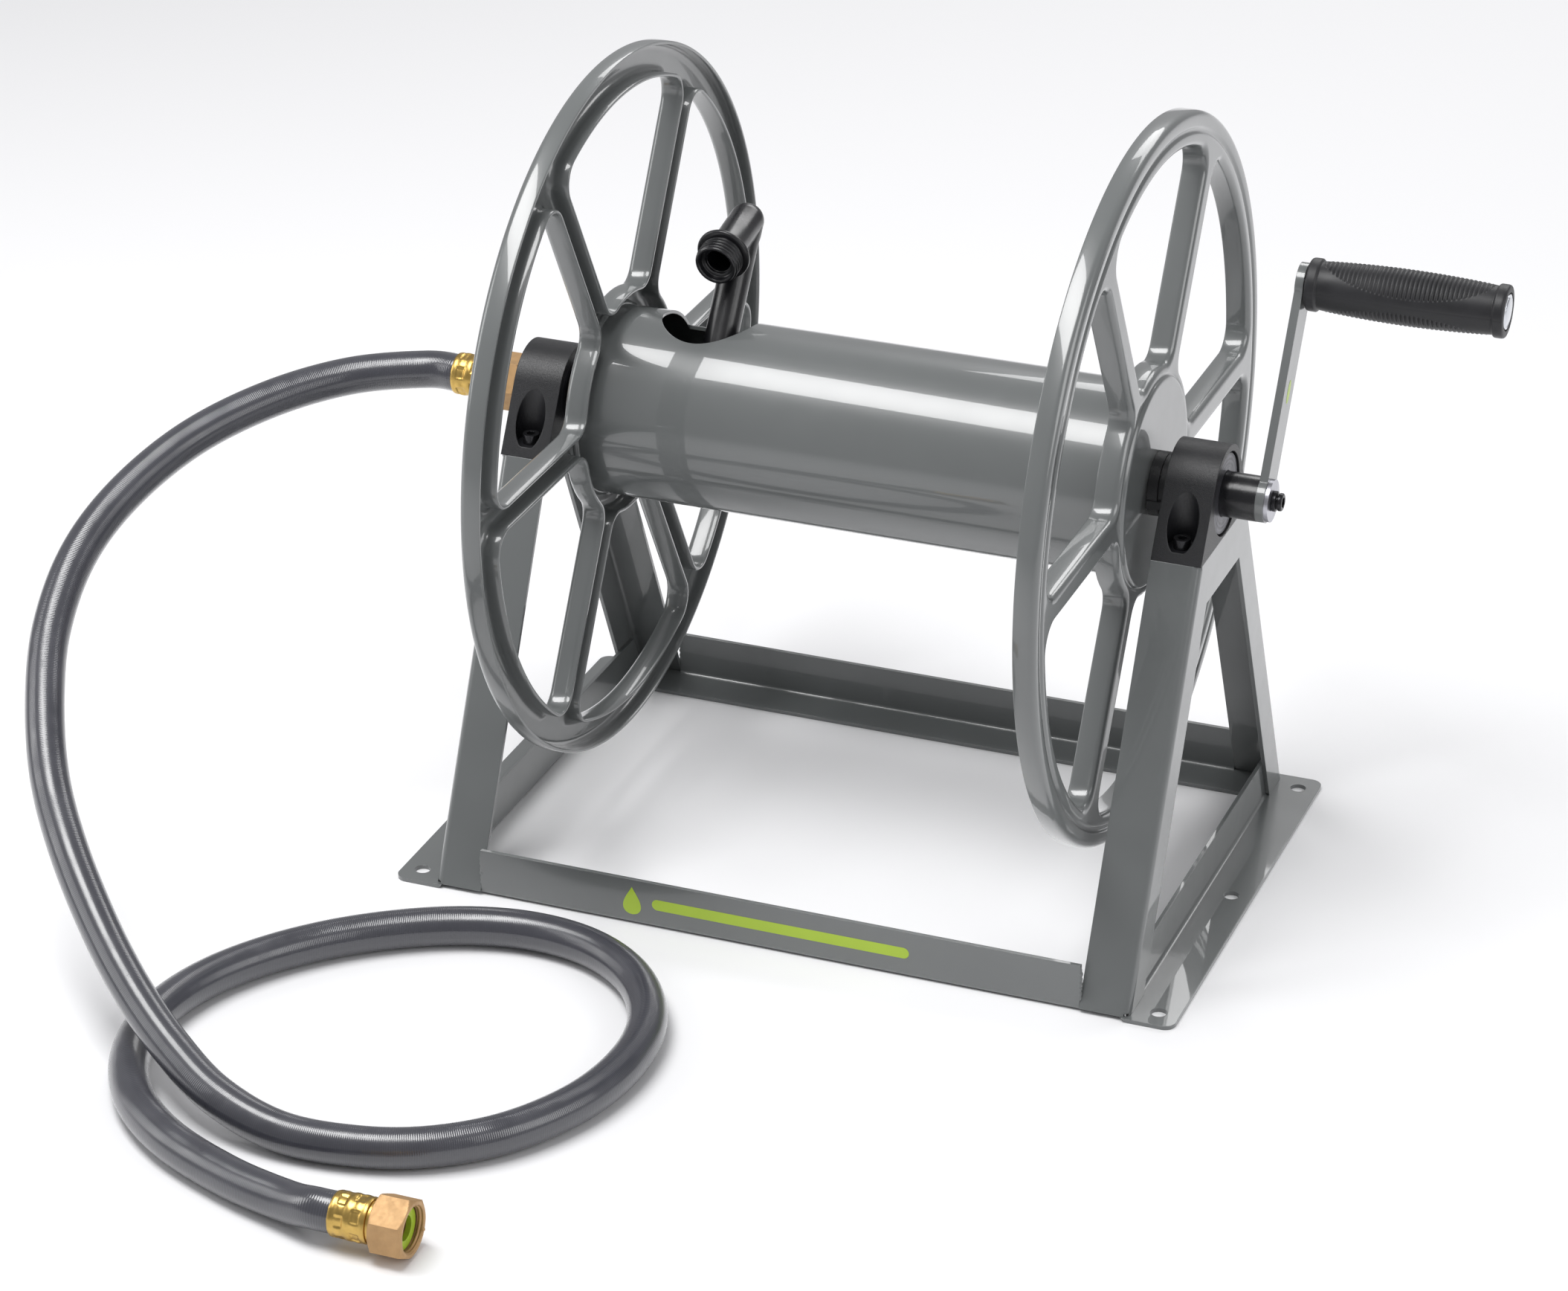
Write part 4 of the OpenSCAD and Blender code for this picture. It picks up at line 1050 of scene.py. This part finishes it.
armMark = {
    "share": 0.5,            # place along the arm
    "long": 7 * mm,
    "wide": 2.6 * mm,
    "proud": 0.1 * mm,
}


def makeArmMark(values):
    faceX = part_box("crank_arm")[1].x
    bottom = Vector((faceX, axle.y, axle.z))
    top = Vector((faceX, gripAxis.y, gripAxis.z))
    along = (top - bottom).normalized()
    across = Vector((0, along.z, -along.y))
    centre = bottom.lerp(top, values["share"])
    steps = 40
    outline = [(values["long"] * math.cos(a), values["wide"] * math.sin(a))
               for a in [2 * math.pi * i / steps for i in range(steps)]]
    points = [centre + along * u + across * v + Vector((values["proud"], 0, 0)) for u, v in outline]
    points += [centre + along * u + across * v for u, v in outline]
    faces = [tuple(range(steps))]
    faces += [(k, (k + 1) % steps, steps + (k + 1) % steps, steps + k) for k in range(steps)]
    return addPiece("armMark", points, faces, markLime, 30)


fitPiece(makeArmMark(armMark), "reel", "washer_rubber")
print("marks laid")


# finishes on the machined parts that keep their shape

nodeFinish = {
    "left_side_frame": enamel, "right_side_frame": enamel, "left_foot_rail": enamel,
    "right_foot_rail": enamel, "front_rail": enamel, "rear_rail": enamel, "drum": enamel, "crank_arm": enamel,
    "left_bearing_block": blockBlack, "right_bearing_block": blockBlack, "right_collar": blockBlack,
    "left_collar": blockBlack, "inlet_swivel": pipeBlack, "water_axle": pipeBlack, "crank_shaft": pipeBlack,
    "left_front_screw": screwBlack, "left_rear_screw": screwBlack, "right_front_screw": screwBlack,
    "right_rear_screw": screwBlack, "inlet_tail": ferruleBrass, "end_tail": ferruleBrass,
    "end_washer": washerRubber, "crank_washer": zincSteel, "grip_spindle": zincSteel,
    "grip_core": corePlastic,
}
for name, finish in nodeFinish.items():
    node = cadNodes[name]
    node.data.materials.clear()
    node.data.materials.append(finish)
print("machined parts finished")


# floor and lights

studio = {
    "floor": (0.86, 0.86, 0.87),
    "world": (1.0, 1.0, 1.02),
    "worldStrength": 0.34,
}
lamps = {
    "topBox": {"place": (-0.5, -0.62, 2.15), "aim": (-0.3, -0.3, 0), "wide": 1.7, "deep": 0.85, "power": 42},
    "leftBox": {"place": (-2.3, -0.9, 1.2), "aim": (-0.1, 0, 0.2), "wide": 0.9, "deep": 1.5, "power": 15},
    "rightBox": {"place": (2.3, -0.5, 1.4), "aim": (0.1, 0, 0.2), "wide": 1.4, "deep": 1.6, "power": 20},
    "backBox": {"place": (0.3, 2.6, 2.2), "aim": (0, 0.8, 0), "wide": 2.4, "deep": 1.2, "power": 34},
}


def makeStudio():
    floorFinish, tree, shader = startFinish("paleFloor", {"colour": studio["floor"], "rough": 0.6})
    place = tree.nodes.new("ShaderNodeTexCoord")
    grain = noiseField(tree, place, 40, 2)
    tree.links.new(stackBump(tree, grain, 0.02 * mm), shader.inputs["Normal"])
    bpy.ops.mesh.primitive_plane_add(size=24, location=(0, 0, 0))
    floor = bpy.context.object
    floor.name = "studioFloor"
    floor.data.materials.append(floorFinish)
    world = bpy.data.worlds.new("studioWorld")
    world.use_nodes = True
    world.node_tree.nodes["Background"].inputs["Color"].default_value = (*studio["world"], 1)
    world.node_tree.nodes["Background"].inputs["Strength"].default_value = studio["worldStrength"]
    bpy.context.scene.world = world
    for name, lamp in lamps.items():
        data = bpy.data.lights.new(name, "AREA")
        data.shape = "RECTANGLE"
        data.size, data.size_y = lamp["wide"], lamp["deep"]
        data.energy = lamp["power"]
        box = bpy.data.objects.new(name, data)
        box.location = lamp["place"]
        box.rotation_euler = (Vector(lamp["aim"]) - Vector(lamp["place"])).to_track_quat("-Z", "Y").to_euler()
        bpy.context.scene.collection.objects.link(box)


makeStudio()
bpy.context.scene.view_settings.view_transform = "Standard"
print("studio lit")
